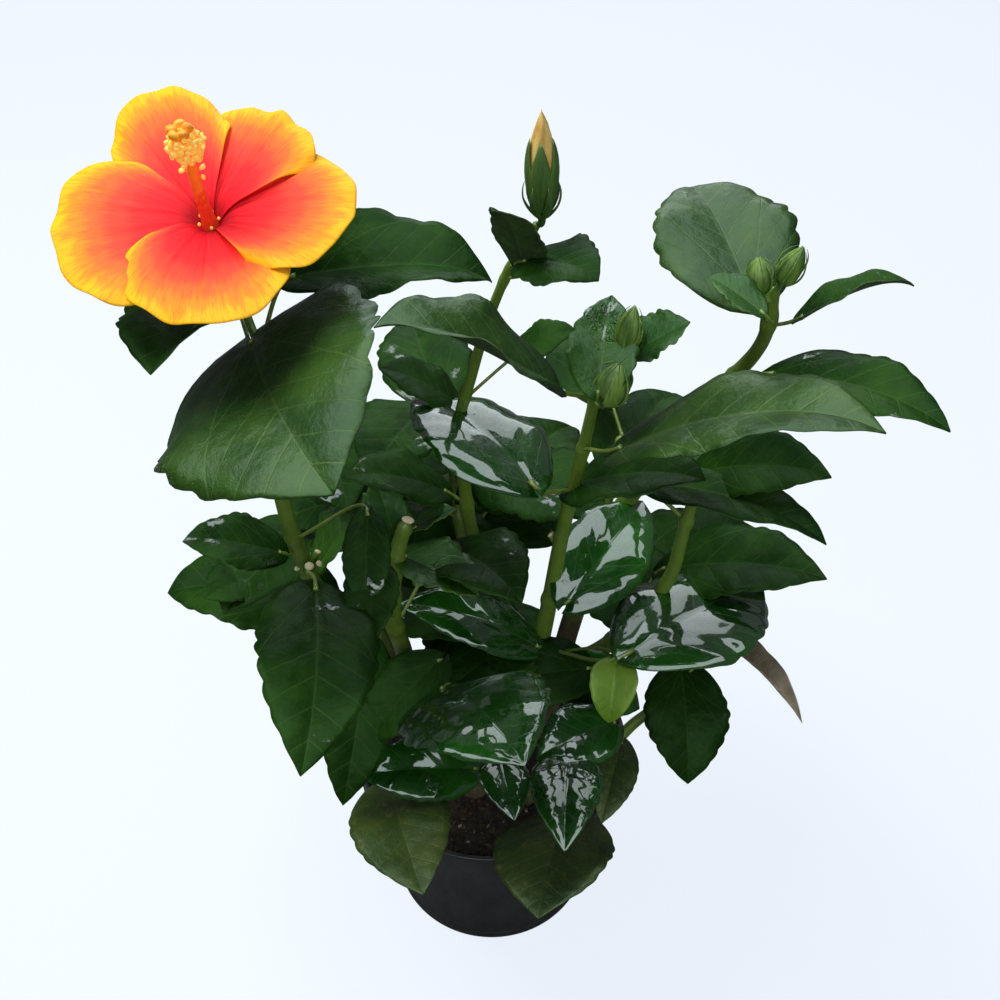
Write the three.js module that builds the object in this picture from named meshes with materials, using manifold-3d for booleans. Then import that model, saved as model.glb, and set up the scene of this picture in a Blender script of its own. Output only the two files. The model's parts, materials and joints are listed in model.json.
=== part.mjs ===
// A potted hibiscus shrub: a nursery pot of soil with five rooted stems, their side limbs,
// masses of thin leaf pads, one open bloom and three buds. Millimetres, +Z up.
// The origin is the centre of the pot's flat underside.
import * as THREE from 'three';
import { mergeVertices } from 'three/addons/utils/BufferGeometryUtils.js';
import Module from 'manifold-3d';

const wasm = await Module();
wasm.setup();

// Driving dimensions
const GAP = 0.3; // clearance between neighbouring solids
const POT_HEIGHT = 104;
const POT_BASE_RADIUS = 50;
const POT_BAND_RADIUS = 61.5; // wall radius just under the rim band
const POT_RIM_RADIUS = 65;
const POT_BAND_HEIGHT = 16;
const POT_WALL = 2;
const POT_FLOOR = 3;
const POT_SIDES = 20;
const DRAIN_COUNT = 6;
const DRAIN_RADIUS = 4;
const DRAIN_CIRCLE = 36;
const SOIL_TOP = 92;
const SOIL_CROWN = 2; // the soil stands this much higher at its middle
const LIMB_SIDES = 6;
const LEAF_THICKNESS = 3;
const LEAF_STATIONS = 3; // steps along a leaf pad
const STALK_SIDES = 3;
const PETIOLE_RADIUS = 1.5;
const PETIOLE_RISE = 40; // degrees above level
const TWIG_RADIUS = 2.6; // the cane inside a mass
const GOLDEN_ANGLE = 137.5; // degrees from one leaf to the next up a cane
const BLOOM_CENTRE = [-96, 17, 391];
const BLOOM_BEARING = -108;
const BLOOM_PITCH = 74;
const BLOOM_RADIUS = 54;
const BLOOM_DEPTH = 17; // how far the throat lies below the petals' edge
const COLUMN_LENGTH = 51;
const ANTHER_RADIUS = 7;

// Rooted stems and side limbs: the route of each, its radius at foot and tip, and how far up it
// the leaves begin, as a fraction of its length. A side limb starts on its parent's axis.
const LIMBS = {
  stem_left: { route: [[-18, 4, 92], [-48, 4, 150], [-76, 4, 215], [-84, 8, 270], [-84, 12, 338]],
    foot: 5, tip: 2.6, leafy: 0.28 },
  limb_left_pruned: { parent: 'stem_left',
    route: [[-30, 4, 112], [-36, -8, 170], [-40, -14, 230], [-32, -6, 262]],
    foot: 4.5, tip: 3, leafy: 0.6 },
  limb_left_rear: { parent: 'stem_left', route: [[-36, 4, 126], [-62, 48, 170], [-80, 84, 226]],
    foot: 4.5, tip: 2.6, leafy: 0.3 },
  stem_centre: { route: [[8, -2, 92], [18, -4, 150], [24, -4, 200], [32, -4, 270], [40, -6, 345]],
    foot: 4.8, tip: 2.2, leafy: 0.22 },
  limb_bud: { parent: 'stem_centre',
    route: [[13, -3, 120], [-2, 18, 190], [-12, 20, 280], [-6, 12, 320], [6, 6, 370], [17, 2, 394]],
    foot: 3.8, tip: 1.8, leafy: 0.42 },
  limb_rear: { parent: 'stem_centre', route: [[11, -3, 112], [-10, 50, 166], [-22, 92, 236]],
    foot: 4.5, tip: 2.6, leafy: 0.3 },
  stem_right: { route: [[24, 12, 92], [48, 36, 200], [84, 20, 300], [96, 0, 345], [96, -4, 372]],
    foot: 5.5, tip: 2.4, leafy: 0.76 },
  limb_right_low: { parent: 'stem_right', route: [[33, 20, 130], [60, 4, 180], [74, -4, 225], [80, -2, 270]],
    foot: 4.5, tip: 2.6, leafy: 0.3 },
  limb_right_rear: { parent: 'stem_right', route: [[31, 18, 124], [50, 66, 172], [62, 90, 220]],
    foot: 4.5, tip: 2.6, leafy: 0.3 },
  stem_front_left: { route: [[-8, -20, 92], [-16, -34, 140], [-16, -44, 205]],
    foot: 4.5, tip: 2.6, leafy: 0.12 },
  stem_front_right: { route: [[14, -24, 92], [34, -38, 130], [48, -46, 182]],
    foot: 4.5, tip: 2.6, leafy: 0.12 },
  limb_side: { parent: 'stem_front_right', route: [[32, -37, 126], [60, -20, 138], [84, -8, 156]],
    foot: 3.6, tip: 2.2, leafy: 0.4 },
};

// Leaves by limb. Each row: height up the limb (0 foot, 1 tip), bearing of the leaf stalk, its
// length, then the blade's bearing, pitch, length, roll and width as a share of its length.
const LEAVES = {
  stem_left: [
    [1.00, -113, 5, -76, 19, 97, 31, 0.95],
    [0.93, 120, 40, -105, 25, 67, 11, 0.74],
    [0.98, 57, 30, -2, 14, 76, 10, 0.64],
    [0.59, -131, 11, -171, 34, 41, -11, 0.69],
    [0.34, 170, 60, -133, 28, 25, -7, 0.95],
    [0.55, -74, 57, -80, 19, 87, -15, 0.52],
    [0.48, 100, 14, 20, 60, 46, 0, 0.60],
    [0.62, -25, 49, -88, -9, 43, 0, 0.45],
    [0.37, -63, 28, -95, -12, 69, -7, 0.45],
  ],
  limb_left_pruned: [
    [0.87, 88, 7, 116, 59, 29, -2, 0.64],
    [0.75, 65, 30, 0, 42, 20, 0, 0.62],
    [0.83, 47, 9, -33, 6, 36, 0, 0.82],
    [0.88, -126, 19, -85, 11, 40, 1, 0.55],
    [0.62, 45, 40, -55, 35, 58, 0, 0.72],
  ],
  stem_centre: [
    [0.93, -90, 19, 82, 50, 35, 0, 0.75],
    [0.95, 12, 17, -2, 46, 23, 11, 0.95],
    [0.92, -135, 30, -170, 46, 69, 6, 0.65],
    [0.73, -139, 29, 127, 19, 68, 13, 0.77],
    [0.48, -56, 16, 48, 25, 63, 19, 0.61],
    [0.35, -44, 64, 39, 5, 82, -9, 0.72],
    [0.82, -63, 32, -25, 46, 100, -2, 0.47],
    [0.71, 80, 6, -30, 45, 60, 0, 0.72],
    [0.37, -99, 13, -189, 36, 65, 0, 0.45],
  ],
  limb_bud: [
    [0.90, -51, 15, -113, 76, 43, -4, 0.45],
    [0.92, -66, 15, -37, 30, 32, 0, 0.95],
    [0.68, 16, 25, -3, 45, 26, 9, 0.72],
    [0.62, 87, 7, 170, 43, 36, 11, 0.74],
    [0.45, 175, 11, -170, 40, 46, 0, 0.72],
  ],
  stem_right: [
    [0.96, 175, 9, 109, 31, 59, -4, 0.89],
    [0.95, -109, 32, 154, 32, 21, -4, 0.69],
    [0.94, -44, 16, 6, 38, 39, -17, 0.45],
    [0.82, -76, 37, -48, 32, 70, 12, 0.45],
  ],
  limb_right_low: [
    [0.93, 74, 19, -36, 41, 58, 27, 0.56],
    [0.92, 152, 22, -30, 22, 75, -6, 0.45],
    [0.43, 52, 29, -27, 38, 75, 11, 0.56],
    [0.32, 30, 40, -40, 42, 50, 0, 0.72],
  ],
  stem_front_left: [
    [1.00, -126, 7, -60, 47, 81, 0, 0.72],
    [0.58, -48, 39, -79, 22, 35, -4, 0.60],
    [0.41, -56, 22, -161, 31, 53, -15, 0.58],
    [0.17, -142, 53, -76, 26, 64, 0, 0.67],
  ],
  stem_front_right: [
    [1.00, -25, 6, -148, 24, 40, -9, 0.74],
    [0.85, -128, 27, -94, 33, 58, 0, 0.49],
    [0.15, -65, 40, -109, 28, 61, 11, 0.85],
    [0.49, 10, 30, -105, 17, 44, -4, 0.48],
  ],
  limb_side: [
    [1.00, 29, 30, -68, 31, 66, 0, 0.20],
    [1.00, 70, 9, -89, -6, 53, 0, 0.74],
  ],
};

// Limbs whose leaves simply spiral up them, each one turned by the golden angle from the last.
const SPIRALS = {
  limb_left_rear: { count: 7, start: 184, first: 76, last: 56, pitch: 22 },
  limb_rear: { count: 7, start: 140, first: 78, last: 58, pitch: 22 },
  limb_right_rear: { count: 7, start: 10, first: 76, last: 56, pitch: 22 },
};

const rad = THREE.MathUtils.degToRad;
const vec = (point) => new THREE.Vector3(...point);

function heading(bearing, pitch) {
  const level = Math.cos(rad(pitch));
  const turn = rad(bearing);
  return new THREE.Vector3(level * Math.cos(turn), level * Math.sin(turn), Math.sin(rad(pitch)));
}

// A closed BufferGeometry from rings of points: each ring is joined to the next, both ends capped.
function loft(rings) {
  const sides = rings[0].length;
  const positions = rings.flat().flatMap((point) => [point.x, point.y, point.z]);
  const index = [];
  for (let r = 0; r + 1 < rings.length; r += 1) {
    for (let k = 0; k < sides; k += 1) {
      const a = r * sides + k;
      const b = r * sides + ((k + 1) % sides);
      index.push(a, b, a + sides, b, b + sides, a + sides);
    }
  }
  const last = (rings.length - 1) * sides;
  for (let k = 1; k + 1 < sides; k += 1) {
    index.push(0, k + 1, k);
    index.push(last, last + k, last + k + 1);
  }
  const geometry = new THREE.BufferGeometry();
  geometry.setAttribute('position', new THREE.Float32BufferAttribute(positions, 3));
  geometry.setIndex(index);
  return geometry;
}

function toSolid(geometry) {
  const bare = geometry.clone();
  bare.deleteAttribute('normal');
  bare.deleteAttribute('uv');
  const merged = mergeVertices(bare, 1e-4);
  const vertProperties = new Float32Array(merged.attributes.position.array);
  const triVerts = new Uint32Array(merged.index.array);
  const solid = new wasm.Manifold(new wasm.Mesh({ numProp: 3, vertProperties, triVerts }));
  if (solid.volume() > 0) return solid;
  const flipped = triVerts.map((_, i) => triVerts[i - (i % 3) + 2 - (i % 3)]);
  return new wasm.Manifold(new wasm.Mesh({ numProp: 3, vertProperties, triVerts: flipped }));
}

function toGeometry(solid) {
  const mesh = solid.getMesh();
  const geometry = new THREE.BufferGeometry();
  geometry.setAttribute('position', new THREE.Float32BufferAttribute(mesh.vertProperties, 3));
  geometry.setIndex(new THREE.Uint32BufferAttribute(mesh.triVerts, 1));
  geometry.computeVertexNormals();
  return geometry;
}

function largestPiece(solid) {
  const pieces = solid.decompose();
  return pieces.reduce((best, piece) => (piece.volume() > best.volume() ? piece : best));
}

function curveOf(route) {
  return new THREE.CatmullRomCurve3(route.map(vec), false, 'centripetal');
}

// A tapering round limb along a curve, from one fraction of its length to another.
function limbSolid(curve, from, to, footRadius, tipRadius, steps, grow = 0, sides = LIMB_SIDES) {
  const rings = [];
  const side = new THREE.Vector3(0, 1, 0);
  for (let i = 0; i <= steps; i += 1) {
    const u = Math.min(1, from + ((to - from) * i) / steps);
    const tangent = curve.getTangentAt(u);
    const across = new THREE.Vector3().crossVectors(tangent, side).normalize();
    const up = new THREE.Vector3().crossVectors(across, tangent).normalize();
    const centre = curve.getPointAt(u);
    if (i === 0) centre.addScaledVector(tangent, -grow);
    if (i === steps) centre.addScaledVector(tangent, grow);
    const radius = footRadius + (tipRadius - footRadius) * u + grow;
    const ring = [];
    for (let k = 0; k < sides; k += 1) {
      const turn = (2 * Math.PI * k) / sides;
      const point = centre.clone().addScaledVector(across, radius * Math.cos(turn));
      ring.push(point.addScaledVector(up, radius * Math.sin(turn)));
    }
    rings.push(ring);
  }
  return toSolid(loft(rings));
}

// Half-width of an ovate leaf along its midrib, 0 to 1 to 0, widest a little above its base.
function leafShape(s) {
  const peak = 0.55 / 1.5;
  return (s ** 0.55 * (1 - s) ** 0.95) / (peak ** 0.55 * (1 - peak) ** 0.95);
}

// A thin leaf pad: an ovate outline folded along a midrib that droops from base to tip.
function leafSolid(base, leaf, grow = 0) {
  const stations = LEAF_STATIONS;
  const along = heading(leaf.bearing, leaf.pitch);
  const normal = heading(leaf.bearing, leaf.pitch + 90);
  const flatSide = new THREE.Vector3().crossVectors(along, normal);
  normal.multiplyScalar(Math.cos(rad(leaf.roll))).addScaledVector(flatSide, Math.sin(rad(leaf.roll)));
  const lateral = new THREE.Vector3().crossVectors(along, normal);
  const droop = rad(leaf.droop);
  const fold = rad(leaf.fold);
  const half = LEAF_THICKNESS / 2 + grow;
  const rib = base.clone();
  const rings = [];
  for (let i = 0; i <= stations; i += 1) {
    const s = i / stations;
    const middle = droop * (s - 0.5 / stations);
    if (i > 0) {
      const stride = leaf.length / stations;
      rib.addScaledVector(along, stride * Math.cos(middle));
      rib.addScaledVector(normal, -stride * Math.sin(middle));
    }
    const up = normal.clone().multiplyScalar(Math.cos(droop * s)).addScaledVector(along, Math.sin(droop * s));
    const halfWidth = Math.max((leaf.length * leaf.width * leafShape(s)) / 2, 1.2) + grow;
    const reach = lateral.clone().multiplyScalar(halfWidth * Math.cos(fold));
    const lift = up.clone().multiplyScalar(halfWidth * Math.sin(fold));
    const left = rib.clone().sub(reach).add(lift);
    const right = rib.clone().add(reach).add(lift);
    rings.push([left, rib.clone().addScaledVector(up, -half), right, rib.clone().addScaledVector(up, half)]);
  }
  return toSolid(loft(rings));
}

function petioleSolid(from, to, grow = 0) {
  const run = to.clone().sub(from).normalize();
  const curve = new THREE.LineCurve3(from, to.clone().addScaledVector(run, 2));
  return limbSolid(curve, 0, 1, PETIOLE_RADIUS, PETIOLE_RADIUS, 1, grow, STALK_SIDES);
}

function spiralRows(limb) {
  const { count, start, first, last, pitch } = SPIRALS[limb];
  const lowest = LIMBS[limb].leafy + 0.03;
  const rows = [];
  for (let k = 0; k < count; k += 1) {
    const share = k / (count - 1);
    const bearing = start + GOLDEN_ANGLE * k;
    const length = first + (last - first) * share;
    rows.push([lowest + (1 - lowest) * share, bearing, 28 - 10 * share, bearing, pitch, length, 0, 0.75]);
  }
  return rows;
}

// One mass of foliage: the leafy end of a limb with all its leaf stalks and leaf pads.
function massSolid(limb, grow = 0) {
  const { route, foot, tip, leafy } = LIMBS[limb];
  const curve = curveOf(route);
  const start = leafy + (GAP / curve.getLength()) * (grow > 0 ? 0 : 1);
  const steps = Math.max(2, Math.round((curve.getLength() * (1 - leafy)) / 30));
  const pieces = [
    limbSolid(curve, start, 1, Math.min(foot, TWIG_RADIUS), Math.min(tip, TWIG_RADIUS), steps, grow, 5),
  ];
  for (const row of LEAVES[limb] ?? spiralRows(limb)) {
    const [height, stalkBearing, stalk, bearing, pitch, length, roll, width] = row;
    const joint = curve.getPointAt(Math.min(height, 0.995));
    const base = joint.clone().addScaledVector(heading(stalkBearing, PETIOLE_RISE), stalk);
    const leaf = { bearing, pitch, length, roll, width, droop: 30, fold: 18 };
    pieces.push(petioleSolid(joint, base, grow));
    pieces.push(leafSolid(base, leaf, grow));
  }
  return pieces.reduce((whole, piece) => whole.add(piece));
}

const hibiscus = new THREE.Group();

function addNode(name, geometry, colour, roughness = 0.7) {
  const material = new THREE.MeshStandardMaterial({ color: colour, roughness, metalness: 0 });
  const mesh = new THREE.Mesh(geometry, material);
  mesh.name = name;
  hibiscus.add(mesh);
}

// Solids already placed, each a little grown, that later solids are cut back from.
let taken = null;

function claim(solid) {
  taken = taken === null ? solid : taken.add(solid);
}

// Pot: a turned wall with a thicker rim band and a flat floor with drainage holes.
function potSolid() {
  const bandFoot = POT_HEIGHT - POT_BAND_HEIGHT;
  const profile = [
    [0, 0], [POT_BASE_RADIUS, 0], [POT_BAND_RADIUS, bandFoot], [POT_RIM_RADIUS - 0.5, bandFoot],
    [POT_RIM_RADIUS, POT_HEIGHT], [POT_RIM_RADIUS - POT_WALL, POT_HEIGHT],
    [POT_BAND_RADIUS - POT_WALL, bandFoot], [POT_BASE_RADIUS - POT_WALL, POT_FLOOR], [0, POT_FLOOR],
  ];
  const lathe = new THREE.LatheGeometry(profile.map(([r, z]) => new THREE.Vector2(r, z)), POT_SIDES);
  lathe.rotateX(Math.PI / 2);
  let pot = toSolid(lathe);
  for (let k = 0; k < DRAIN_COUNT; k += 1) {
    const hole = new THREE.CylinderGeometry(DRAIN_RADIUS, DRAIN_RADIUS, 4 * POT_FLOOR, 8);
    hole.rotateX(Math.PI / 2);
    const turn = (2 * Math.PI * k) / DRAIN_COUNT;
    hole.translate(DRAIN_CIRCLE * Math.cos(turn), DRAIN_CIRCLE * Math.sin(turn), POT_FLOOR / 2);
    pot = pot.subtract(toSolid(hole));
  }
  return pot;
}

// Soil: fills the pot to a little below its rim, slightly raised at the middle.
function soilSolid() {
  const bandFoot = POT_HEIGHT - POT_BAND_HEIGHT;
  const floor = POT_FLOOR + GAP;
  const innerAt = (z) => POT_BASE_RADIUS - POT_WALL - 2 * GAP
    + ((POT_BAND_RADIUS - POT_BASE_RADIUS) * (z - POT_FLOOR)) / (bandFoot - POT_FLOOR);
  const profile = [
    [0, floor], [innerAt(floor), floor], [innerAt(bandFoot), bandFoot], [innerAt(bandFoot), SOIL_TOP - 1],
    [POT_BASE_RADIUS, SOIL_TOP - 0.5], [POT_BASE_RADIUS / 2, SOIL_TOP + SOIL_CROWN / 2],
    [0, SOIL_TOP + SOIL_CROWN],
  ];
  const lathe = new THREE.LatheGeometry(profile.map(([r, z]) => new THREE.Vector2(r, z)), POT_SIDES);
  lathe.rotateX(Math.PI / 2);
  return toSolid(lathe);
}

addNode('pot', toGeometry(potSolid()), 0x232427, 0.5);
const soil = soilSolid();
addNode('soil', toGeometry(soil), 0x2b1d14, 0.95);
const soilGrown = soil.add(soil.translate([0, 0, GAP]));
claim(soilGrown);

// Stems and limbs: each ends where its leaves begin.
for (const [name, limb] of Object.entries(LIMBS)) {
  const curve = curveOf(limb.route);
  const drop = limb.parent ? 0 : 2;
  if (drop > 0) limb.route[0][2] -= drop;
  const rooted = curveOf(limb.route);
  const steps = Math.max(3, Math.round(curve.getLength() * limb.leafy / 18));
  const body = limbSolid(rooted, 0, limb.leafy, limb.foot, limb.tip, steps);
  addNode(name, toGeometry(largestPiece(body.subtract(taken))), 0x6d7440);
  claim(limbSolid(rooted, 0, limb.leafy, limb.foot, limb.tip, steps, GAP));
}

// Bloom: five broad petals that overlap into one shallow funnel.
function bloomFrame() {
  const axis = heading(BLOOM_BEARING, BLOOM_PITCH);
  return new THREE.Quaternion().setFromUnitVectors(new THREE.Vector3(0, 0, 1), axis);
}

function petalEdge(turn) {
  return BLOOM_RADIUS * (0.93 + 0.07 * Math.cos(5 * turn));
}

function bloomSolid(grow = 0) {
  const sides = 20;
  const half = 1.6 + grow;
  const radii = [0.1, 0.3, 0.65, 1];
  const rings = [];
  const heightAt = (q) => BLOOM_DEPTH * (q ** 0.8 - 1) + 4;
  const ringAt = (q, offset) => {
    const ring = [];
    for (let k = 0; k < sides; k += 1) {
      const turn = (2 * Math.PI * k) / sides;
      const reach = petalEdge(turn) * q + grow * q;
      ring.push(new THREE.Vector3(reach * Math.cos(turn), reach * Math.sin(turn), heightAt(q) + offset));
    }
    return ring;
  };
  for (const q of radii) rings.push(ringAt(q, -half));
  for (const q of [...radii].reverse()) rings.push(ringAt(q, half));
  const dish = loft(rings);
  dish.applyQuaternion(bloomFrame());
  dish.translate(...BLOOM_CENTRE);
  return toSolid(dish);
}

function bloomPoint(height) {
  const axis = heading(BLOOM_BEARING, BLOOM_PITCH);
  return vec(BLOOM_CENTRE).addScaledVector(axis, height);
}

function straightLimb(from, to, footRadius, tipRadius, steps, grow) {
  const line = new THREE.LineCurve3(bloomPoint(from), bloomPoint(to));
  return limbSolid(line, 0, 1, footRadius, tipRadius, steps, grow);
}

function antherSolid(grow = 0) {
  const ball = new THREE.SphereGeometry(ANTHER_RADIUS + grow, 7, 5);
  ball.translate(...bloomPoint(COLUMN_LENGTH - BLOOM_DEPTH - 8).toArray());
  return toSolid(ball);
}

function columnSolid(grow = 0) {
  const shaft = straightLimb(-BLOOM_DEPTH + 7, COLUMN_LENGTH - BLOOM_DEPTH, 2.4, 1.8, 4, grow);
  return shaft.add(antherSolid(grow));
}

function calyxSolid(grow = 0) {
  const cup = straightLimb(-BLOOM_DEPTH - 22, -BLOOM_DEPTH + 2, 4, 8, 2, grow);
  const stalkEnd = curveOf(LIMBS.stem_left.route).getPointAt(1).add(new THREE.Vector3(0, 0, 1));
  const stalk = new THREE.LineCurve3(stalkEnd, bloomPoint(-BLOOM_DEPTH - 20));
  return cup.add(limbSolid(stalk, 0, 1, 1.8, 1.8, 2, grow));
}

const bloomParts = [
  ['bloom_petals', bloomSolid, 0xf5642d],
  ['bloom_column', columnSolid, 0xd4321e],
  ['bloom_calyx', calyxSolid, 0x4d6b2c],
];
for (const [name, build, colour] of bloomParts) {
  addNode(name, toGeometry(largestPiece(build().subtract(taken))), colour, 0.55);
  claim(build(GAP));
}

// Buds: spindles, the tallest on its own limb and two small ones at other tips.
const BUDS = {
  bud_tall: { foot: [17, 1, 397], bearing: 150, pitch: 86, length: 38, radius: 6.5 },
  bud_centre: { foot: [46, -8, 348], bearing: 20, pitch: 80, length: 16, radius: 4.6 },
  bud_right: { foot: [98, -6, 376], bearing: -30, pitch: 75, length: 16, radius: 4 },
};

function budSolid({ foot, bearing, pitch, length, radius }, grow = 0) {
  const profile = [];
  for (let i = 0; i <= 6; i += 1) {
    const s = i / 6;
    const swell = Math.sin(Math.PI * s ** 0.75) ** 0.7;
    const reach = i === 0 || i === 6 ? 0 : Math.max(radius * swell, 0.6) + grow;
    profile.push(new THREE.Vector2(reach, length * s + (i === 0 ? -grow : grow * s)));
  }
  const lathe = new THREE.LatheGeometry(profile, 7);
  lathe.rotateX(Math.PI / 2);
  const upright = new THREE.Vector3(0, 0, 1);
  lathe.applyQuaternion(new THREE.Quaternion().setFromUnitVectors(upright, heading(bearing, pitch)));
  lathe.translate(...foot);
  return toSolid(lathe);
}

for (const [name, bud] of Object.entries(BUDS)) {
  addNode(name, toGeometry(largestPiece(budSolid(bud).subtract(taken))), 0x6c8f3a, 0.6);
  claim(budSolid(bud, GAP));
}

// Masses of foliage, one to a limb, each cut back from what is already there.
const MASSES = {
  foliage_right_low: 'limb_right_low',
  foliage_bud: 'limb_bud',
  foliage_front_right: 'stem_front_right',
  foliage_right: 'stem_right',
  foliage_left: 'stem_left',
  foliage_centre: 'stem_centre',
  foliage_front_left: 'stem_front_left',
  foliage_side: 'limb_side',
  foliage_left_pruned: 'limb_left_pruned',
  foliage_rear: 'limb_rear',
  foliage_left_rear: 'limb_left_rear',
  foliage_right_rear: 'limb_right_rear',
};

for (const [name, limb] of Object.entries(MASSES)) {
  const body = massSolid(limb).subtract(taken);
  addNode(name, toGeometry(largestPiece(body)), 0x2c4a24, 0.35);
  claim(massSolid(limb, GAP));
}

export default hibiscus;
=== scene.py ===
import json
import math

import bpy
import numpy as np
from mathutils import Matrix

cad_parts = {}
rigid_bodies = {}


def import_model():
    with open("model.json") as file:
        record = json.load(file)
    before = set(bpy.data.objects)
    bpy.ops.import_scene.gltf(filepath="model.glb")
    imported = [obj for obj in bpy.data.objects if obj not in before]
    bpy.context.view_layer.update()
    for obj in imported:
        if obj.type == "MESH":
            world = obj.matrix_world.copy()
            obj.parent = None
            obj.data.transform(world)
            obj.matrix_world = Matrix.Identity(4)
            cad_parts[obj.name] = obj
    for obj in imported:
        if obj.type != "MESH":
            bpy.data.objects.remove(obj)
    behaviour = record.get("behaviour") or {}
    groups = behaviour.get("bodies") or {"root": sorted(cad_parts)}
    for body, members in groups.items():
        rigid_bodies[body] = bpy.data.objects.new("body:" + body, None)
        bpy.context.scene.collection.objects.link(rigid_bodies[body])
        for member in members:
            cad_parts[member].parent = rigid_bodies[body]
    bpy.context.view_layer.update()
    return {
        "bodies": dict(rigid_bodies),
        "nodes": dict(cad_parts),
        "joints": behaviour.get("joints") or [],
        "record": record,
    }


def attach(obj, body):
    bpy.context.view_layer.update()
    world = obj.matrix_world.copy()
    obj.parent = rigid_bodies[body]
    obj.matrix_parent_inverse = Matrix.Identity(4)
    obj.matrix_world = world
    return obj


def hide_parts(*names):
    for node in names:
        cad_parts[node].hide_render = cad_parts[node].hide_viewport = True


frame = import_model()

MM = 0.001

# ---------------------------------------------------------------------------------------------
# Studio: a pale floor, a soft key light from the left and behind, a weaker one in front, two broad
# lights overhead and behind that only glossy surfaces mirror, and a camera that looks down at the
# plant at 45 degrees. None of this is part of the shrub.
CAMERA_PLACE = (0.0043, -0.3635, 0.6307)
CAMERA_TILT = 45.0  # degrees away from straight down
CAMERA_FIELD = 42.0  # degrees across the picture
FLOOR_SIZE = 12.0  # metres
FLOOR_COLOUR = (0.16, 0.17, 0.18)
FLOOR_GLOW = (0.76, 0.815, 0.885)  # the part of the floor's paleness that no shadow takes away
SKY_COLOUR = (0.90, 0.94, 0.96)
SKY_STRENGTH = 0.25
GLOSS_COLOUR = (0.86, 0.97, 1.0)
# Name: place, target, size in metres, power in watts, colour, seen by matt, seen by glossy surfaces.
LIGHTS = {
    "key": ((-0.50, 0.30, 1.30), (0.0, 0.0, 0.25), 0.7, 15.0, (1.0, 0.99, 0.96), True, False),
    "front": ((0.4, -1.3, 0.9), (0.0, 0.0, 0.2), 1.0, 7.0, (0.97, 0.98, 1.0), True, False),
    "overhead": ((-0.15, -0.10, 1.65), (0.0, 0.0, 0.25), 2.8, 150.0, GLOSS_COLOUR, False, True),
    "rear": ((0.10, 1.50, 0.90), (0.0, 0.0, 0.2), 1.0, 11.0, (0.88, 0.98, 1.0), False, True),
}

scene = bpy.context.scene
scene.view_settings.view_transform = "Standard"


def add_light(name, place, target, size, power, colour, diffuse, glossy):
    """A square area light at `place` that faces `target`, seen by matt or by glossy surfaces or both."""
    lamp = bpy.data.lights.new(name, "AREA")
    lamp.shape = "SQUARE"
    lamp.size = size
    lamp.energy = power
    lamp.color = colour
    holder = bpy.data.objects.new(name, lamp)
    scene.collection.objects.link(holder)
    holder.location = place
    aim = np.array(target, float) - np.array(place, float)
    holder.rotation_euler = (
        math.atan2(math.hypot(aim[0], aim[1]), -aim[2]),
        0.0,
        math.atan2(aim[0], -aim[1]) + math.pi,
    )
    holder.visible_camera = False
    holder.visible_diffuse = diffuse
    holder.visible_glossy = glossy
    return holder


def add_world(strength):
    """A pale sky all round, the same from every side."""
    world = bpy.data.worlds.new("sky")
    scene.world = world
    world.use_nodes = True
    backdrop = world.node_tree.nodes["Background"]
    backdrop.inputs["Color"].default_value = (*SKY_COLOUR, 1.0)
    backdrop.inputs["Strength"].default_value = strength


lens = bpy.data.cameras.new("camera")
lens.angle = math.radians(CAMERA_FIELD)
lens.clip_start = 0.01
lens.clip_end = 50.0
camera = bpy.data.objects.new("camera", lens)
camera.location = CAMERA_PLACE
camera.rotation_euler = (math.radians(CAMERA_TILT), 0.0, 0.0)
scene.collection.objects.link(camera)
scene.camera = camera

add_world(SKY_STRENGTH)
for name, values in LIGHTS.items():
    add_light(name, *values)

bpy.ops.mesh.primitive_plane_add(size=FLOOR_SIZE, location=(0.0, 0.0, 0.0))
floor = bpy.context.object
floor.name = "floor"
floor_paint = bpy.data.materials.new("floor_paint")
floor_paint.use_nodes = True
floor_shader = floor_paint.node_tree.nodes["Principled BSDF"]
floor_shader.inputs["Base Color"].default_value = (*FLOOR_COLOUR, 1.0)
floor_shader.inputs["Roughness"].default_value = 0.9
floor_shader.inputs["Specular IOR Level"].default_value = 0.0
floor_shader.inputs["Emission Strength"].default_value = 1.0
floor_path = floor_paint.node_tree.nodes.new("ShaderNodeLightPath")
floor_glow = floor_paint.node_tree.nodes.new("ShaderNodeMix")
floor_glow.data_type = "RGBA"
floor_glow.inputs[6].default_value = (0.0, 0.0, 0.0, 1.0)
floor_glow.inputs[7].default_value = (*FLOOR_GLOW, 1.0)
floor_paint.node_tree.links.new(floor_path.outputs["Is Camera Ray"], floor_glow.inputs[0])
floor_paint.node_tree.links.new(floor_glow.outputs[2], floor_shader.inputs["Emission Color"])
floor.data.materials.append(floor_paint)

# ---------------------------------------------------------------------------------------------
# Pot: a thin-walled tapered nursery pot of black injection-moulded plastic, with a thicker band
# round its mouth, a stepped foot and drainage holes through its floor. It stands on its foot.
POT_HEIGHT = 104 * MM
POT_BASE_RADIUS = 50 * MM
POT_BAND_RADIUS = 61.5 * MM
POT_RIM_RADIUS = 65 * MM
POT_BAND_FOOT = POT_HEIGHT - 16 * MM
POT_WALL = 2 * MM
POT_FLOOR = 3 * MM
POT_TURNS = 144
DRAIN_COUNT = 6
DRAIN_RADIUS = 4 * MM
DRAIN_CIRCLE = 36 * MM
DRAIN_SIDES = 20
POT_UNDERSIDE = 1.2 * MM  # the hollow under the floor
POT_FOOT_LIP = 5 * MM


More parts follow.
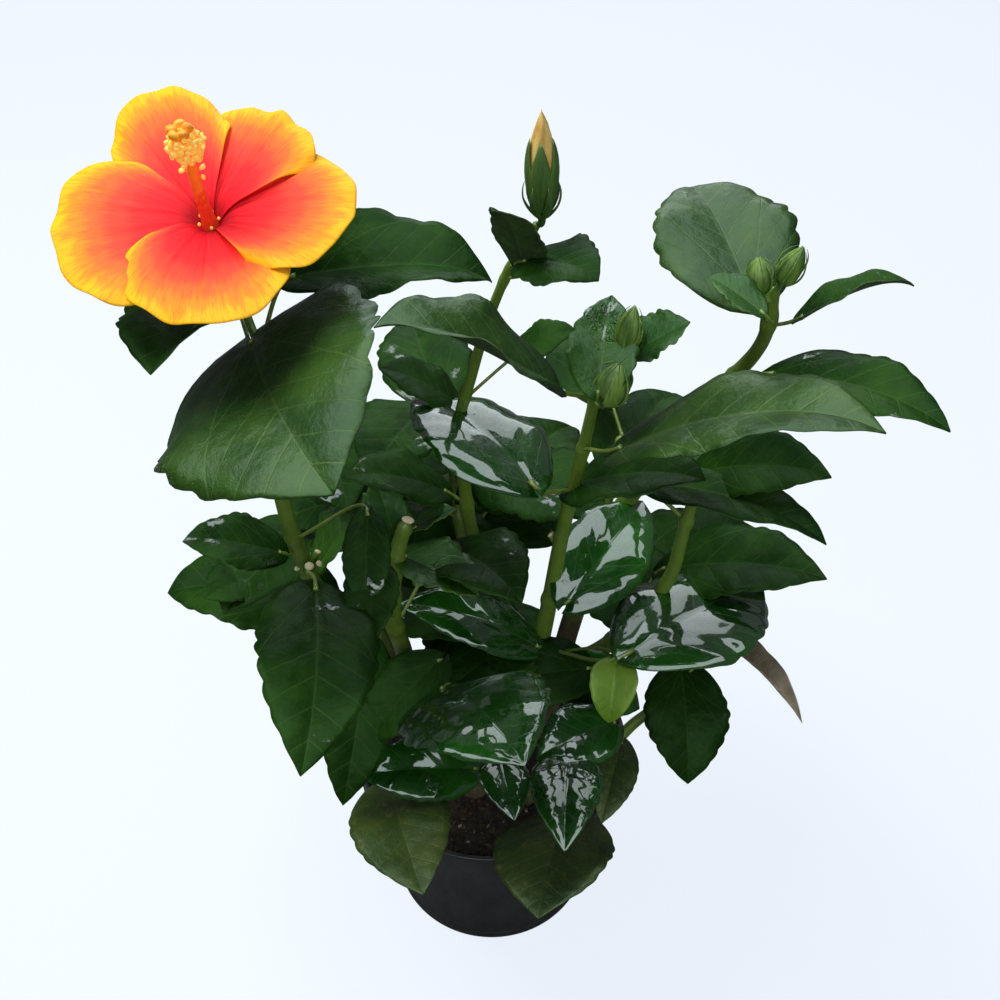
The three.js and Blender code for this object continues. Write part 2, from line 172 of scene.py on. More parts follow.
def mesh_piece(name, points, faces, materials, smooth=True):
    """A mesh object at the origin from an (n, 3) array of points and a list of faces."""
    mesh = bpy.data.meshes.new(name)
    listed = faces.tolist() if isinstance(faces, np.ndarray) else faces
    mesh.from_pydata(np.asarray(points).tolist(), [], listed)
    mesh.polygons.foreach_set("use_smooth", np.full(len(mesh.polygons), smooth))
    for material in materials:
        mesh.materials.append(material)
    mesh.update()
    piece = bpy.data.objects.new(name, mesh)
    scene.collection.objects.link(piece)
    return piece


def grid_faces(rows, columns, close_columns=False):
    """Quads of a rows by columns grid of points, its columns wrapped round into a ring if asked."""
    r = np.arange(rows - 1)
    c = np.arange(columns if close_columns else columns - 1)
    r, c = np.meshgrid(r, c, indexing="ij")
    r, c = r.ravel(), c.ravel()
    r1 = r + 1
    c1 = (c + 1) % columns
    return np.stack([r * columns + c, r * columns + c1, r1 * columns + c1, r1 * columns + c], 1)


def turned(profile, turns):
    """A profile of (radius, height) turned round Z: x = r cos a, y = r sin a, z = height."""
    profile = np.asarray(profile, float)
    angle = np.linspace(0.0, 2.0 * np.pi, turns, endpoint=False)
    radius = profile[:, 0, None]
    x = radius * np.cos(angle)
    y = radius * np.sin(angle)
    z = np.broadcast_to(profile[:, 1, None], x.shape)
    return np.stack([x, y, z], -1).reshape(-1, 3)


def rounded(profile, radius, steps=4):
    """An open profile with each inner corner replaced by a short quadratic curve between its sides."""
    profile = np.asarray(profile, float)
    corner = profile[1:-1]
    before = profile[:-2] - corner
    after = profile[2:] - corner
    reach_before = np.linalg.norm(before, axis=1, keepdims=True)
    reach_after = np.linalg.norm(after, axis=1, keepdims=True)
    cut = np.minimum(radius, 0.45 * np.minimum(reach_before, reach_after))
    start = corner + before / reach_before * cut
    end = corner + after / reach_after * cut
    t = np.linspace(0.0, 1.0, steps)[None, :, None]
    curve = (1 - t) ** 2 * start[:, None] + 2 * t * (1 - t) * corner[:, None] + t**2 * end[:, None]
    return np.vstack([profile[:1], curve.reshape(-1, 2), profile[-1:]])


def plain_material(name, colour, roughness, **sockets):
    """A Principled material with its node tree; extra sockets are given by name with underscores."""
    material = bpy.data.materials.new(name)
    material.use_nodes = True
    shader = material.node_tree.nodes["Principled BSDF"]
    shader.inputs["Base Color"].default_value = (*colour, 1.0)
    shader.inputs["Roughness"].default_value = roughness
    for socket, value in sockets.items():
        shader.inputs[socket.replace("_", " ")].default_value = value
    return material


def node(tree, kind, **values):
    """A new shader node; values name its sockets (by index or name) or its own settings."""
    made = tree.nodes.new(kind)
    for key, value in values.items():
        if hasattr(made, key):
            setattr(made, key, value)
        else:
            made.inputs[key.replace("_", " ")].default_value = value
    return made


def math_node(tree, operation, first, second=None, third=None):
    """A Math node on sockets or plain numbers; returns its output socket."""
    made = tree.nodes.new("ShaderNodeMath")
    made.operation = operation
    for slot, value in enumerate((first, second, third)):
        if value is None:
            continue
        if isinstance(value, (int, float)):
            made.inputs[slot].default_value = value
        else:
            tree.links.new(value, made.inputs[slot])
    return made.outputs[0]


def ramp_node(tree, factor, stops):
    """A colour ramp on a factor socket, with stops given as (position, colour or grey)."""
    made = tree.nodes.new("ShaderNodeValToRGB")
    ramp = made.color_ramp
    ramp.interpolation = "EASE"
    while len(ramp.elements) < len(stops):
        ramp.elements.new(0.5)
    for element, (place, colour) in zip(ramp.elements, stops):
        element.position = place
        shade = (colour,) * 3 if isinstance(colour, (int, float)) else colour
        element.color = (*shade, 1.0)
    tree.links.new(factor, made.inputs[0])
    return made.outputs[0]


def mix_colours(tree, factor, first, second):
    """A colour Mix node on sockets, plain colours or a plain factor."""
    made = tree.nodes.new("ShaderNodeMix")
    made.data_type = "RGBA"
    for slot, value in ((0, factor), (6, first), (7, second)):
        if isinstance(value, (int, float)):
            made.inputs[slot].default_value = value
        elif isinstance(value, tuple):
            made.inputs[slot].default_value = (*value, 1.0)
        else:
            tree.links.new(value, made.inputs[slot])
    return made.outputs[2]


def noise_at(tree, scale, detail=3.0, roughness=0.55, vector=None, stretch=None):
    """Noise in object space, or on a given vector, sometimes stretched; returns its value socket."""
    if vector is None:
        vector = tree.nodes.new("ShaderNodeTexCoord").outputs["Object"]
    if stretch is not None:
        mapping = node(tree, "ShaderNodeMapping", Scale=stretch)
        tree.links.new(vector, mapping.inputs["Vector"])
        vector = mapping.outputs["Vector"]
    made = node(tree, "ShaderNodeTexNoise", Scale=scale, Detail=detail, Roughness=roughness)
    tree.links.new(vector, made.inputs["Vector"])
    return made.outputs[0]


def add_bump(tree, height, strength, distance):
    """A Bump node that feeds the shader's normal from a height socket."""
    shader = tree.nodes["Principled BSDF"]
    bump = node(tree, "ShaderNodeBump", Strength=strength, Distance=distance)
    tree.links.new(height, bump.inputs["Height"])
    tree.links.new(bump.outputs[0], shader.inputs["Normal"])


def pot_plastic():
    """Black plastic: fine moulded grain, faint scuffs and a little dry dust in patches."""
    material = plain_material("pot_plastic", (0.02, 0.021, 0.024), 0.45, Specular_IOR_Level=0.4)
    tree = material.node_tree
    shader = tree.nodes["Principled BSDF"]
    grain = noise_at(tree, 900.0, 2.0)
    scuffs = noise_at(tree, 45.0, 6.0, 0.7, stretch=(1.0, 1.0, 0.25))
    dust = ramp_node(tree, noise_at(tree, 22.0, 5.0), [(0.45, 0.0), (0.75, 0.4)])
    colour = mix_colours(tree, dust, (0.016, 0.017, 0.019), (0.055, 0.052, 0.048))
    tree.links.new(colour, shader.inputs["Base Color"])
    gloss = ramp_node(tree, scuffs, [(0.3, 0.34), (0.7, 0.58)])
    tree.links.new(gloss, shader.inputs["Roughness"])
    add_bump(tree, grain, 0.25, 0.0004)
    return material


pot_profile = [
    (POT_BASE_RADIUS - POT_FOOT_LIP, POT_UNDERSIDE),
    (POT_BASE_RADIUS - 4 * MM, 0.0),
    (POT_BASE_RADIUS, 0.0),
    (POT_BASE_RADIUS + 0.9 * MM, 6 * MM),
    (POT_BASE_RADIUS + 0.3 * MM, 7 * MM),
    (POT_BAND_RADIUS, POT_BAND_FOOT),
    (POT_RIM_RADIUS - 1.0 * MM, POT_BAND_FOOT),
    (POT_RIM_RADIUS - 0.8 * MM, POT_HEIGHT - 3 * MM),
    (POT_RIM_RADIUS, POT_HEIGHT - 2.4 * MM),
    (POT_RIM_RADIUS, POT_HEIGHT),
    (POT_RIM_RADIUS - POT_WALL, POT_HEIGHT),
    (POT_BAND_RADIUS - POT_WALL, POT_BAND_FOOT),
    (POT_BASE_RADIUS - POT_WALL, POT_FLOOR),
]
pot_ring = rounded(pot_profile, 0.6 * MM)
hub = np.linspace(1.0, 0.0, 8)[1:-1, None]
under = np.hstack([hub * (POT_BASE_RADIUS - POT_FOOT_LIP), np.full_like(hub, POT_UNDERSIDE)])[::-1]
over = np.hstack([hub * (POT_BASE_RADIUS - POT_WALL), np.full_like(hub, POT_FLOOR)])
pot_line = np.vstack([under, pot_ring, over])
pot_points = turned(pot_line, POT_TURNS)
pot_faces = grid_faces(len(pot_line), POT_TURNS, close_columns=True).tolist()
pot_points = np.vstack([pot_points, [[0.0, 0.0, POT_UNDERSIDE], [0.0, 0.0, POT_FLOOR]]])
first_ring = np.arange(POT_TURNS)
last_ring = first_ring + (len(pot_line) - 1) * POT_TURNS
centre_under = len(pot_points) - 2
for k in range(POT_TURNS):
    after = (k + 1) % POT_TURNS
    pot_faces.append([centre_under, int(first_ring[after]), int(first_ring[k])])
    pot_faces.append([centre_under + 1, int(last_ring[k]), int(last_ring[after])])
nursery_pot = mesh_piece("nursery_pot", pot_points, pot_faces, [pot_plastic()])

drill_line = np.array([(DRAIN_RADIUS, -5 * MM), (DRAIN_RADIUS, 8 * MM)])
drill_points, drill_faces = [], []
for k in range(DRAIN_COUNT):
    turn = 2.0 * np.pi * k / DRAIN_COUNT
    ring = turned(drill_line, DRAIN_SIDES)
    ring += (DRAIN_CIRCLE * np.cos(turn), DRAIN_CIRCLE * np.sin(turn), 0.0)
    start = len(drill_points)
    drill_points.extend(ring.tolist())
    drill_faces.extend((grid_faces(2, DRAIN_SIDES, close_columns=True) + start).tolist())
    drill_faces.append([start + j for j in range(DRAIN_SIDES)][::-1])
    drill_faces.append([start + DRAIN_SIDES + j for j in range(DRAIN_SIDES)])
drills = mesh_piece("drills", drill_points, drill_faces, [])
cut = nursery_pot.modifiers.new("drain_holes", "BOOLEAN")
cut.operation = "DIFFERENCE"
cut.solver = "EXACT"
cut.object = drills
bpy.context.view_layer.update()
finished_pot = nursery_pot.evaluated_get(bpy.context.evaluated_depsgraph_get())
cut_mesh = bpy.data.meshes.new_from_object(finished_pot)
nursery_pot.modifiers.clear()
nursery_pot.data = cut_mesh
bpy.data.objects.remove(drills)
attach(nursery_pot, "root")
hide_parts("pot")

# ---------------------------------------------------------------------------------------------
# Soil: damp peat potting mix a finger's width below the rim, lumpy, with loose crumbs, bits of
# bark and a few pale grains lying on it. It fills the pot down to the floor.
SOIL_TOP = 92 * MM
SOIL_RADIUS = 59 * MM
SOIL_FLOOR = 3.4 * MM
SOIL_RINGS = 46
SOIL_TURNS = 120
CRUMB_COUNTS = {"dark": 1500, "brown": 520, "pale": 110}
CRUMB_SIZES = (0.5, 1.7)  # mm
CRUMB_FLATNESS = 0.6


def waves(x, y, seed, count=14, reach=1.0):
    """A smooth random surface: the sum of `count` sine waves with seeded directions and phases."""
    draw = np.random.default_rng(seed)
    height = np.zeros(np.broadcast(x, y).shape)
    for _ in range(count):
        turn = draw.uniform(0, 2 * np.pi)
        pace = draw.uniform(0.4, 2.2) * reach
        shift = draw.uniform(0, 2 * np.pi)
        height = height + np.sin(pace * (x * np.cos(turn) + y * np.sin(turn)) + shift) / count**0.5
    return height


def soil_height(x, y):
    """Height of the soil's surface: a low mound with lumps of three sizes."""
    distance = np.hypot(x, y) / SOIL_RADIUS
    mound = SOIL_TOP + 1.6 * MM * (1.0 - distance**2)
    lumps = 0.9 * MM * waves(x, y, 11, reach=180.0) + 0.5 * MM * waves(x, y, 12, reach=520.0)
    return mound + lumps * (1.0 - distance**6)


def soil_mix(name, dark, light, roughness):
    """Potting mix: two browns mixed by coarse and fine noise, with a rough crumbly bump."""
    material = plain_material(name, dark, roughness, Specular_IOR_Level=0.25)
    tree = material.node_tree
    shader = tree.nodes["Principled BSDF"]
    clumps = ramp_node(tree, noise_at(tree, 260.0, 6.0, 0.7), [(0.38, 0.0), (0.68, 1.0)])
    tree.links.new(mix_colours(tree, clumps, dark, light), shader.inputs["Base Color"])
    add_bump(tree, noise_at(tree, 700.0, 5.0, 0.7), 0.8, 0.0012)
    return material


share = np.linspace(0.02, 1.0, SOIL_RINGS) ** 0.8
angle = np.linspace(0.0, 2.0 * np.pi, SOIL_TURNS, endpoint=False)
ring_x = SOIL_RADIUS * share[:, None] * np.cos(angle)
ring_y = SOIL_RADIUS * share[:, None] * np.sin(angle)
top_rings = np.stack([ring_x, ring_y, soil_height(ring_x, ring_y)], -1)[::-1].reshape(-1, 3)
floor_line = [(1 * MM, SOIL_FLOOR), (25 * MM, SOIL_FLOOR), (POT_BASE_RADIUS - 2.6 * MM, SOIL_FLOOR)]
soil_points = np.vstack([turned(floor_line, SOIL_TURNS), top_rings])
soil_faces = grid_faces(SOIL_RINGS + len(floor_line), SOIL_TURNS, close_columns=True).tolist()
last_ring = np.arange(len(soil_points) - SOIL_TURNS, len(soil_points)).tolist()
soil_paint = soil_mix("potting_mix", (0.012, 0.007, 0.004), (0.05, 0.030, 0.016), 0.95)
soil_caps = [list(range(SOIL_TURNS))[::-1], last_ring]
soil_bed = mesh_piece("soil_bed", soil_points, soil_faces + soil_caps, [soil_paint])
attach(soil_bed, "root")
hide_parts("soil")


def crumb_cloud(count, sizes, flatness, seed):
    """Loose bits as squashed eight-sided diamonds, each turned at random, lying on the soil."""
    draw = np.random.default_rng(seed)
    turn = draw.uniform(0, 2 * np.pi, count)
    distance = SOIL_RADIUS * 0.985 * np.sqrt(draw.uniform(0, 1, count))
    place = np.stack([distance * np.cos(turn), distance * np.sin(turn)], -1)
    size = draw.uniform(*sizes, count) * MM
    unit = np.array([(1, 0, 0), (0, 1, 0), (-1, 0, 0), (0, -1, 0), (0, 0, 1), (0, 0, -1)], float)
    corners = unit[None] * draw.uniform(0.55, 1.0, (count, 6, 1))
    corners[:, :, 2] *= flatness
    corners[:, :, 0] *= draw.uniform(1.0, 2.2, (count, 1))
    spin = np.linalg.qr(draw.normal(size=(count, 3, 3)))[0]
    spin *= np.sign(np.linalg.det(spin))[:, None, None]
    corners = np.einsum("nij,nkj->nki", spin, corners) * size[:, None, None]
    ground = soil_height(place[:, 0], place[:, 1]) + 0.25 * size
    middle = np.concatenate([place, ground[:, None]], -1)
    points = (corners + middle[:, None]).reshape(-1, 3)
    above = [(0, 1, 4), (1, 2, 4), (2, 3, 4), (3, 0, 4)]
    below = [(1, 0, 5), (2, 1, 5), (3, 2, 5), (0, 3, 5)]
    around = np.array(above + below)
    faces = (around[None] + 6 * np.arange(count)[:, None, None]).reshape(-1, 3)
    return points, faces


crumb_paints = {
    "dark": soil_mix("peat_crumb", (0.014, 0.008, 0.005), (0.055, 0.034, 0.02), 0.95),
    "brown": soil_mix("bark_crumb", (0.06, 0.035, 0.018), (0.15, 0.09, 0.05), 0.9),
    "pale": soil_mix("pale_grain", (0.28, 0.24, 0.19), (0.45, 0.40, 0.33), 0.85),
}
for order, (kind, count) in enumerate(CRUMB_COUNTS.items()):
    points, faces = crumb_cloud(count, CRUMB_SIZES, CRUMB_FLATNESS, 40 + order)
    crumbs = mesh_piece(f"soil_crumbs_{kind}", points, faces, [crumb_paints[kind]], smooth=False)
    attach(crumbs, "root")

# ---------------------------------------------------------------------------------------------
# Canes: five rooted stems and their side limbs, each one tapering round limb, brown ridged bark
# at the foot turning to smooth green cane above, with a swelling at every leaf joint.

# Each limb: its route in mm from the foot up, its radius in mm at foot and tip, and the share of
# its length that is woody.
LIMBS = {
    "stem_left": dict(
        route=[(-18, 4, 90), (-48, 4, 150), (-76, 4, 215), (-84, 8, 270), (-84, 12, 338)],
        foot=5.0, tip=2.3, wood=0.55),
    "limb_left_pruned": dict(
        route=[(-30, 4, 112), (-36, -8, 170), (-40, -14, 230), (-32, -6, 262)],
        foot=4.5, tip=3.0, wood=0.35),
    "limb_left_rear": dict(
        route=[(-36, 4, 126), (-62, 48, 170), (-80, 84, 226)], foot=4.5, tip=2.2, wood=0.35),
    "stem_centre": dict(
        route=[(8, -2, 90), (18, -4, 150), (24, -4, 200), (32, -4, 270), (40, -6, 345)],
        foot=4.8, tip=1.9, wood=0.42),
    "limb_bud": dict(
        route=[(13, -3, 120), (-2, 18, 190), (-12, 20, 280), (-6, 12, 320), (6, 6, 370), (17, 2, 394)],
        foot=3.8, tip=1.4, wood=0.35),
    "limb_rear": dict(
        route=[(11, -3, 112), (-10, 50, 166), (-22, 92, 236)], foot=4.5, tip=2.2, wood=0.35),
    "stem_right": dict(
        route=[(24, 12, 90), (48, 36, 200), (84, 20, 300), (96, 0, 345), (96, -4, 372)],
        foot=5.5, tip=2.2, wood=0.55),
    "limb_right_low": dict(
        route=[(33, 20, 130), (60, 4, 180), (74, -4, 225), (80, -2, 270)],
        foot=4.5, tip=2.2, wood=0.3),
    "limb_right_rear": dict(
        route=[(31, 18, 124), (50, 66, 172), (62, 90, 220)], foot=4.5, tip=2.2, wood=0.35),
    "stem_front_left": dict(
        route=[(-8, -20, 90), (-16, -34, 140), (-16, -44, 205)], foot=4.5, tip=2.2, wood=0.4),
    "stem_front_right": dict(
        route=[(14, -24, 90), (34, -38, 130), (48, -46, 182)], foot=4.5, tip=2.2, wood=0.4),
    "limb_side": dict(
        route=[(32, -37, 126), (60, -20, 138), (84, -8, 156)], foot=3.6, tip=1.8, wood=0.2),
}

# Leaves by limb. Each row: height up the limb (0 foot, 1 tip), bearing of the leaf stalk, its
# length in mm, then the blade's bearing, pitch, length in mm, roll, width as a share of length,
# and its habit (see LEAF_HABITS).
LEAVES = {
    "stem_left": [
        (1.00, -113, 5, -76, 19, 97, 31, 0.95, "satin"),
        (0.93, 120, 40, -105, 25, 67, 11, 0.74, "broad"),
        (0.98, 57, 30, -2, 14, 76, 10, 0.64, "cupped"),
        (0.59, -131, 11, -171, 34, 41, -11, 0.69, "broad"),
        (0.34, 170, 60, -133, 28, 25, -7, 0.95, "broad"),
        (0.55, -74, 57, -80, 19, 87, -15, 0.52, "broad"),
        (0.48, 100, 14, 20, 60, 46, 0, 0.60, "young"),
        (0.62, -25, 49, -88, -9, 43, 0, 0.45, "broad"),
        (0.37, -63, 28, -95, -12, 69, -7, 0.45, "broad"),
    ],
    "limb_left_pruned": [
        (0.87, 88, 7, 116, 59, 29, -2, 0.64, "young"),
        (0.75, 65, 30, 0, 42, 20, 0, 0.62, "young"),
        (0.83, 47, 9, -33, 6, 36, 0, 0.82, "young"),
        (0.88, -126, 19, -85, 11, 40, 1, 0.55, "broad"),
        (0.62, 45, 40, -55, 35, 58, 0, 0.72, "broad"),
    ],
    "stem_centre": [
        (0.93, -90, 19, 82, 50, 35, 0, 0.75, "young"),
        (0.95, 12, 17, -2, 46, 23, 11, 0.95, "young"),
        (0.92, -135, 30, -170, 46, 69, 6, 0.65, "folded"),
        (0.73, -139, 29, 127, 19, 68, 13, 0.77, "wet"),
        (0.48, -56, 16, 48, 25, 63, 19, 0.61, "wet"),
        (0.35, -44, 64, 39, 5, 82, -9, 0.72, "wet"),
        (0.82, -63, 32, -25, 46, 100, -2, 0.47, "satin"),
        (0.71, 80, 6, -30, 45, 60, 0, 0.72, "broad"),
        (0.37, -99, 13, -189, 36, 65, 0, 0.45, "wet"),
        (0.29, -38, 37, -168, 12, 50, -3, 0.78, "broad"),
        (0.34, -50, 60, -98, 10, 27, 0, 0.80, "flap"),
    ],
    "limb_bud": [
        (0.90, -51, 15, -113, 76, 43, -4, 0.45, "broad"),
        (0.92, -66, 15, -37, 30, 32, 0, 0.95, "broad"),
        (0.68, 16, 25, -3, 45, 26, 9, 0.72, "broad"),
        (0.62, 87, 7, 170, 43, 36, 11, 0.74, "broad"),
        (0.45, 175, 11, -170, 40, 46, 0, 0.72, "broad"),
    ],
    "stem_right": [
        (0.96, 175, 9, 109, 31, 59, -4, 0.89, "satin"),
        (0.95, -109, 32, 154, 32, 21, -4, 0.69, "young"),
        (0.94, -44, 16, 6, 38, 39, -17, 0.45, "cupped"),
        (0.82, -76, 37, -48, 32, 70, 12, 0.45, "broad"),
    ],
    "limb_right_low": [
        (0.93, 74, 19, -36, 41, 58, 27, 0.56, "broad"),
        (0.92, 152, 22, -30, 22, 75, -6, 0.45, "broad"),
        (0.43, 52, 29, -27, 38, 75, 11, 0.56, "broad"),
        (0.32, 30, 40, -40, 42, 50, 0, 0.72, "broad"),
    ],
    "stem_front_left": [
        (1.00, -126, 7, -60, 47, 81, 0, 0.72, "wet"),
        (0.58, -48, 39, -79, 22, 35, -4, 0.60, "wet"),
        (0.41, -56, 22, -161, 31, 53, -15, 0.58, "wet"),
        (0.17, -142, 53, -76, 26, 64, 0, 0.67, "olive"),
        (0.83, 107, 21, -136, -11, 46, 0, 0.73, "broad"),
    ],
    "stem_front_right": [
        (1.00, -25, 6, -148, 24, 40, -9, 0.74, "wet"),
        (0.85, -128, 27, -94, 33, 58, 0, 0.49, "wet"),
        (0.15, -65, 40, -109, 28, 61, 11, 0.85, "olive"),
        (0.49, 10, 30, -105, 17, 44, -4, 0.48, "olive"),
        (0.76, 117, 35, -15, 2, 39, 0, 0.95, "wet"),
    ],
    "limb_side": [
        (1.00, 29, 30, -68, 31, 66, 0, 0.20, "dry"),
        (1.00, 70, 9, -89, -6, 53, 0, 0.74, "broad"),
    ],
}

# Limbs whose leaves simply spiral up them, each one turned by the golden angle from the last.
GOLDEN_ANGLE = 137.5
SPIRALS = {
    "limb_left_rear": dict(count=7, start=184, first=76, last=56, pitch=22, lowest=0.33),
    "limb_rear": dict(count=7, start=140, first=78, last=58, pitch=22, lowest=0.33),
    "limb_right_rear": dict(count=7, start=10, first=76, last=56, pitch=22, lowest=0.33),
}


def spiral_rows(count, start, first, last, pitch, lowest):
    """Rows like those above for a limb whose leaves spiral up it and shrink towards its tip."""
    rows = []
    for k in range(count):
        share = k / (count - 1)
        bearing = start + GOLDEN_ANGLE * k
        height = lowest + (1.0 - lowest) * share
        length = first + (last - first) * share
        rows.append((height, bearing, 28 - 10 * share, bearing, pitch, length, 0, 0.75, "broad"))
    return rows


for limb, rule in SPIRALS.items():
    LEAVES[limb] = spiral_rows(**rule)


def smooth_route(points, count=240):
    """A centripetal spline through the points, sampled at `count` + 1 even steps of its length."""
    p = np.asarray(points, float)
    p = np.vstack([2 * p[0] - p[1], p, 2 * p[-1] - p[-2]])
    fine = []
    for a, b, c, d in zip(p[:-3], p[1:-2], p[2:-1], p[3:]):
        k0, k1, k2 = (np.linalg.norm(v) ** 0.5 for v in (b - a, c - b, d - c))
        slope1 = ((b - a) / k0 - (c - a) / (k0 + k1) + (c - b) / k1) * k1
        slope2 = ((c - b) / k1 - (d - b) / (k1 + k2) + (d - c) / k2) * k1
        t = np.linspace(0.0, 1.0, 60, endpoint=False)[:, None]
        cubic = (-3 * b + 3 * c - 2 * slope1 - slope2) * t**2 + (2 * b - 2 * c + slope1 + slope2) * t**3
        fine.append(b + slope1 * t + cubic)
    fine = np.vstack([*fine, p[-2:-1]])
    run = np.concatenate([[0.0], np.cumsum(np.linalg.norm(np.diff(fine, axis=0), axis=1))])
    even = np.linspace(0.0, run[-1], count + 1)
    return np.stack([np.interp(even, run, fine[:, i]) for i in range(3)], -1), run[-1]


def at_share(route, share):
    """The point at a share (0 to 1) of a sampled route's length."""
    steps = np.linspace(0.0, 1.0, len(route))
    return np.array([np.interp(share, steps, route[:, i]) for i in range(3)])


def heading(bearing, pitch):
    """A unit vector: bearing in degrees from +X towards +Y, pitch in degrees above level."""
    b, p = math.radians(bearing), math.radians(pitch)
    return np.array([math.cos(p) * math.cos(b), math.cos(p) * math.sin(b), math.sin(p)])


def tube_frames(route):
    """Unit tangent, side and up vectors along a route; the side stays level where it can."""
    tangent = np.gradient(route, axis=0)
    tangent /= np.linalg.norm(tangent, axis=1, keepdims=True)
    side = np.cross(tangent, (0.0, 1.0, 0.0))
    side /= np.linalg.norm(side, axis=1, keepdims=True)
    return tangent, side, np.cross(side, tangent)


def tube_points(route, radius, sides):
    """A round tube: centre + radius (side cos a + up sin a); radius may vary by step and side."""
    tangent, side, up = tube_frames(route)
    angle = np.linspace(0.0, 2.0 * np.pi, sides, endpoint=False)
    radius = np.broadcast_to(radius, (len(route), sides))
    round_way = side[:, None] * np.cos(angle)[None, :, None] + up[:, None] * np.sin(angle)[None, :, None]
    return route[:, None] + radius[..., None] * round_way


def closed_tube(points):
    """Points and faces of a grid tube whose two ends are closed by a fan to their middles."""
    steps, sides = points.shape[:2]
    flat = points.reshape(-1, 3)
    ends = np.stack([points[0].mean(0), points[-1].mean(0)])
    faces = grid_faces(steps, sides, close_columns=True)[:, ::-1].tolist()
    around = np.arange(sides)
    after = (around + 1) % sides
    last = (steps - 1) * sides
    centre = steps * sides
    faces += np.stack([np.full(sides, centre), around, after], 1).tolist()
    faces += np.stack([np.full(sides, centre + 1), last + after, last + around], 1).tolist()
    return np.vstack([flat, ends]), faces


def cane_bark():
    """Cane skin: brown corky bark low down, green above, with pale pores, ridges and blotches.

    How woody the skin is comes from the mesh's own "wood" values, 1 at the foot to 0 where green.
    """
    material = plain_material("cane_bark", (0.12, 0.16, 0.04), 0.5, Specular_IOR_Level=0.4)
    tree = material.node_tree
    shader = tree.nodes["Principled BSDF"]
    wood = node(tree, "ShaderNodeAttribute", attribute_name="wood").outputs["Fac"]
    blotch = noise_at(tree, 120.0, 5.0, 0.65)
    ridges = noise_at(tree, 420.0, 5.0, 0.7, stretch=(1.0, 1.0, 0.14))
    edge = math_node(tree, "MULTIPLY_ADD", blotch, 0.9, math_node(tree, "SUBTRACT", wood, 0.45))
    woody = ramp_node(tree, edge, [(0.38, 0.0), (0.62, 1.0)])
    green = mix_colours(tree, blotch, (0.055, 0.115, 0.012), (0.17, 0.27, 0.03))
    brown = mix_colours(tree, ridges, (0.035, 0.026, 0.014), (0.19, 0.15, 0.085))
    base = mix_colours(tree, woody, green, brown)
    pores = node(tree, "ShaderNodeTexVoronoi", Scale=520.0)
    tree.links.new(tree.nodes.new("ShaderNodeTexCoord").outputs["Object"], pores.inputs["Vector"])
    dots = ramp_node(tree, pores.outputs["Distance"], [(0.08, 0.55), (0.2, 0.0)])
    base = mix_colours(tree, dots, base, (0.30, 0.30, 0.17))
    tree.links.new(base, shader.inputs["Base Color"])
    tree.links.new(ramp_node(tree, woody, [(0.0, 0.38), (1.0, 0.85)]), shader.inputs["Roughness"])
    relief = mix_colours(tree, woody, blotch, ridges)
    add_bump(tree, relief, 0.6, 0.0006)
    return material


def limb_radius(share, limb):
    """Radius in mm along a limb: a straight taper with a short flare at a rooted foot."""
    taper = limb["foot"] + (limb["tip"] - limb["foot"]) * share
    return taper * (1.0 + 0.35 * np.exp(-share / 0.03) * ("stem" in limb["name"]))


bark = cane_bark()
SIDES = 24
ROUTES = {}
for name, limb in LIMBS.items():
    limb["name"] = name
    route, length = smooth_route(limb["route"])
    ROUTES[name] = route
    steps = int(length / 1.3)
    share = np.linspace(0.0, 1.0, steps + 1)
    line = np.stack([at_share(route, s) for s in share])
    seed = sum(map(ord, name))
    draw = np.random.default_rng(seed)
    angle = np.linspace(0.0, 2.0 * np.pi, SIDES, endpoint=False)
    woody = np.clip(1.0 - share / limb["wood"], 0.0, 1.0)[:, None]
    round_x, round_y = 3.0 * np.cos(angle)[None], 3.0 * np.sin(angle)[None]
    ridge = waves(round_x, share[:, None] * 9.0 + round_y, seed, reach=2.0)
    swell = np.zeros_like(share)
    for row in LEAVES[name]:
        swell += 0.20 * np.exp(-(((share - row[0]) * length) / 2.6) ** 2)
    radius = limb_radius(share, limb)[:, None] * (1.0 + swell[:, None])
    radius = radius + ridge * (0.10 + 0.28 * woody)
    tip_round = np.sqrt(np.clip((1.0 - share) * length / limb["tip"], 0.0, 1.0))
    radius = radius * np.maximum(tip_round, 0.25)[:, None]
    line += 0.5 * np.stack([waves(share * 14, 0 * share, seed + i, count=5) for i in (1, 2, 3)], -1)
    points, faces = closed_tube(tube_points(line, radius, SIDES) * MM)
    cane = mesh_piece(f"cane_{name}", points, faces, [bark])
    tint = cane.data.attributes.new("wood", "FLOAT", "POINT")
    tint.data.foreach_set("value", np.append(np.repeat(woody[:, 0], SIDES), [woody[0, 0], woody[-1, 0]]))
    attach(cane, "root")
    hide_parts(name)

# ---------------------------------------------------------------------------------------------
# Leaves: each is an ovate blade with a toothed margin on a round stalk, folded along its midrib
# and drooping to a drawn-out tip, quilted between its side veins, glossy above and dull below.
# All the blades of one mass are one piece, and all its stalks another.

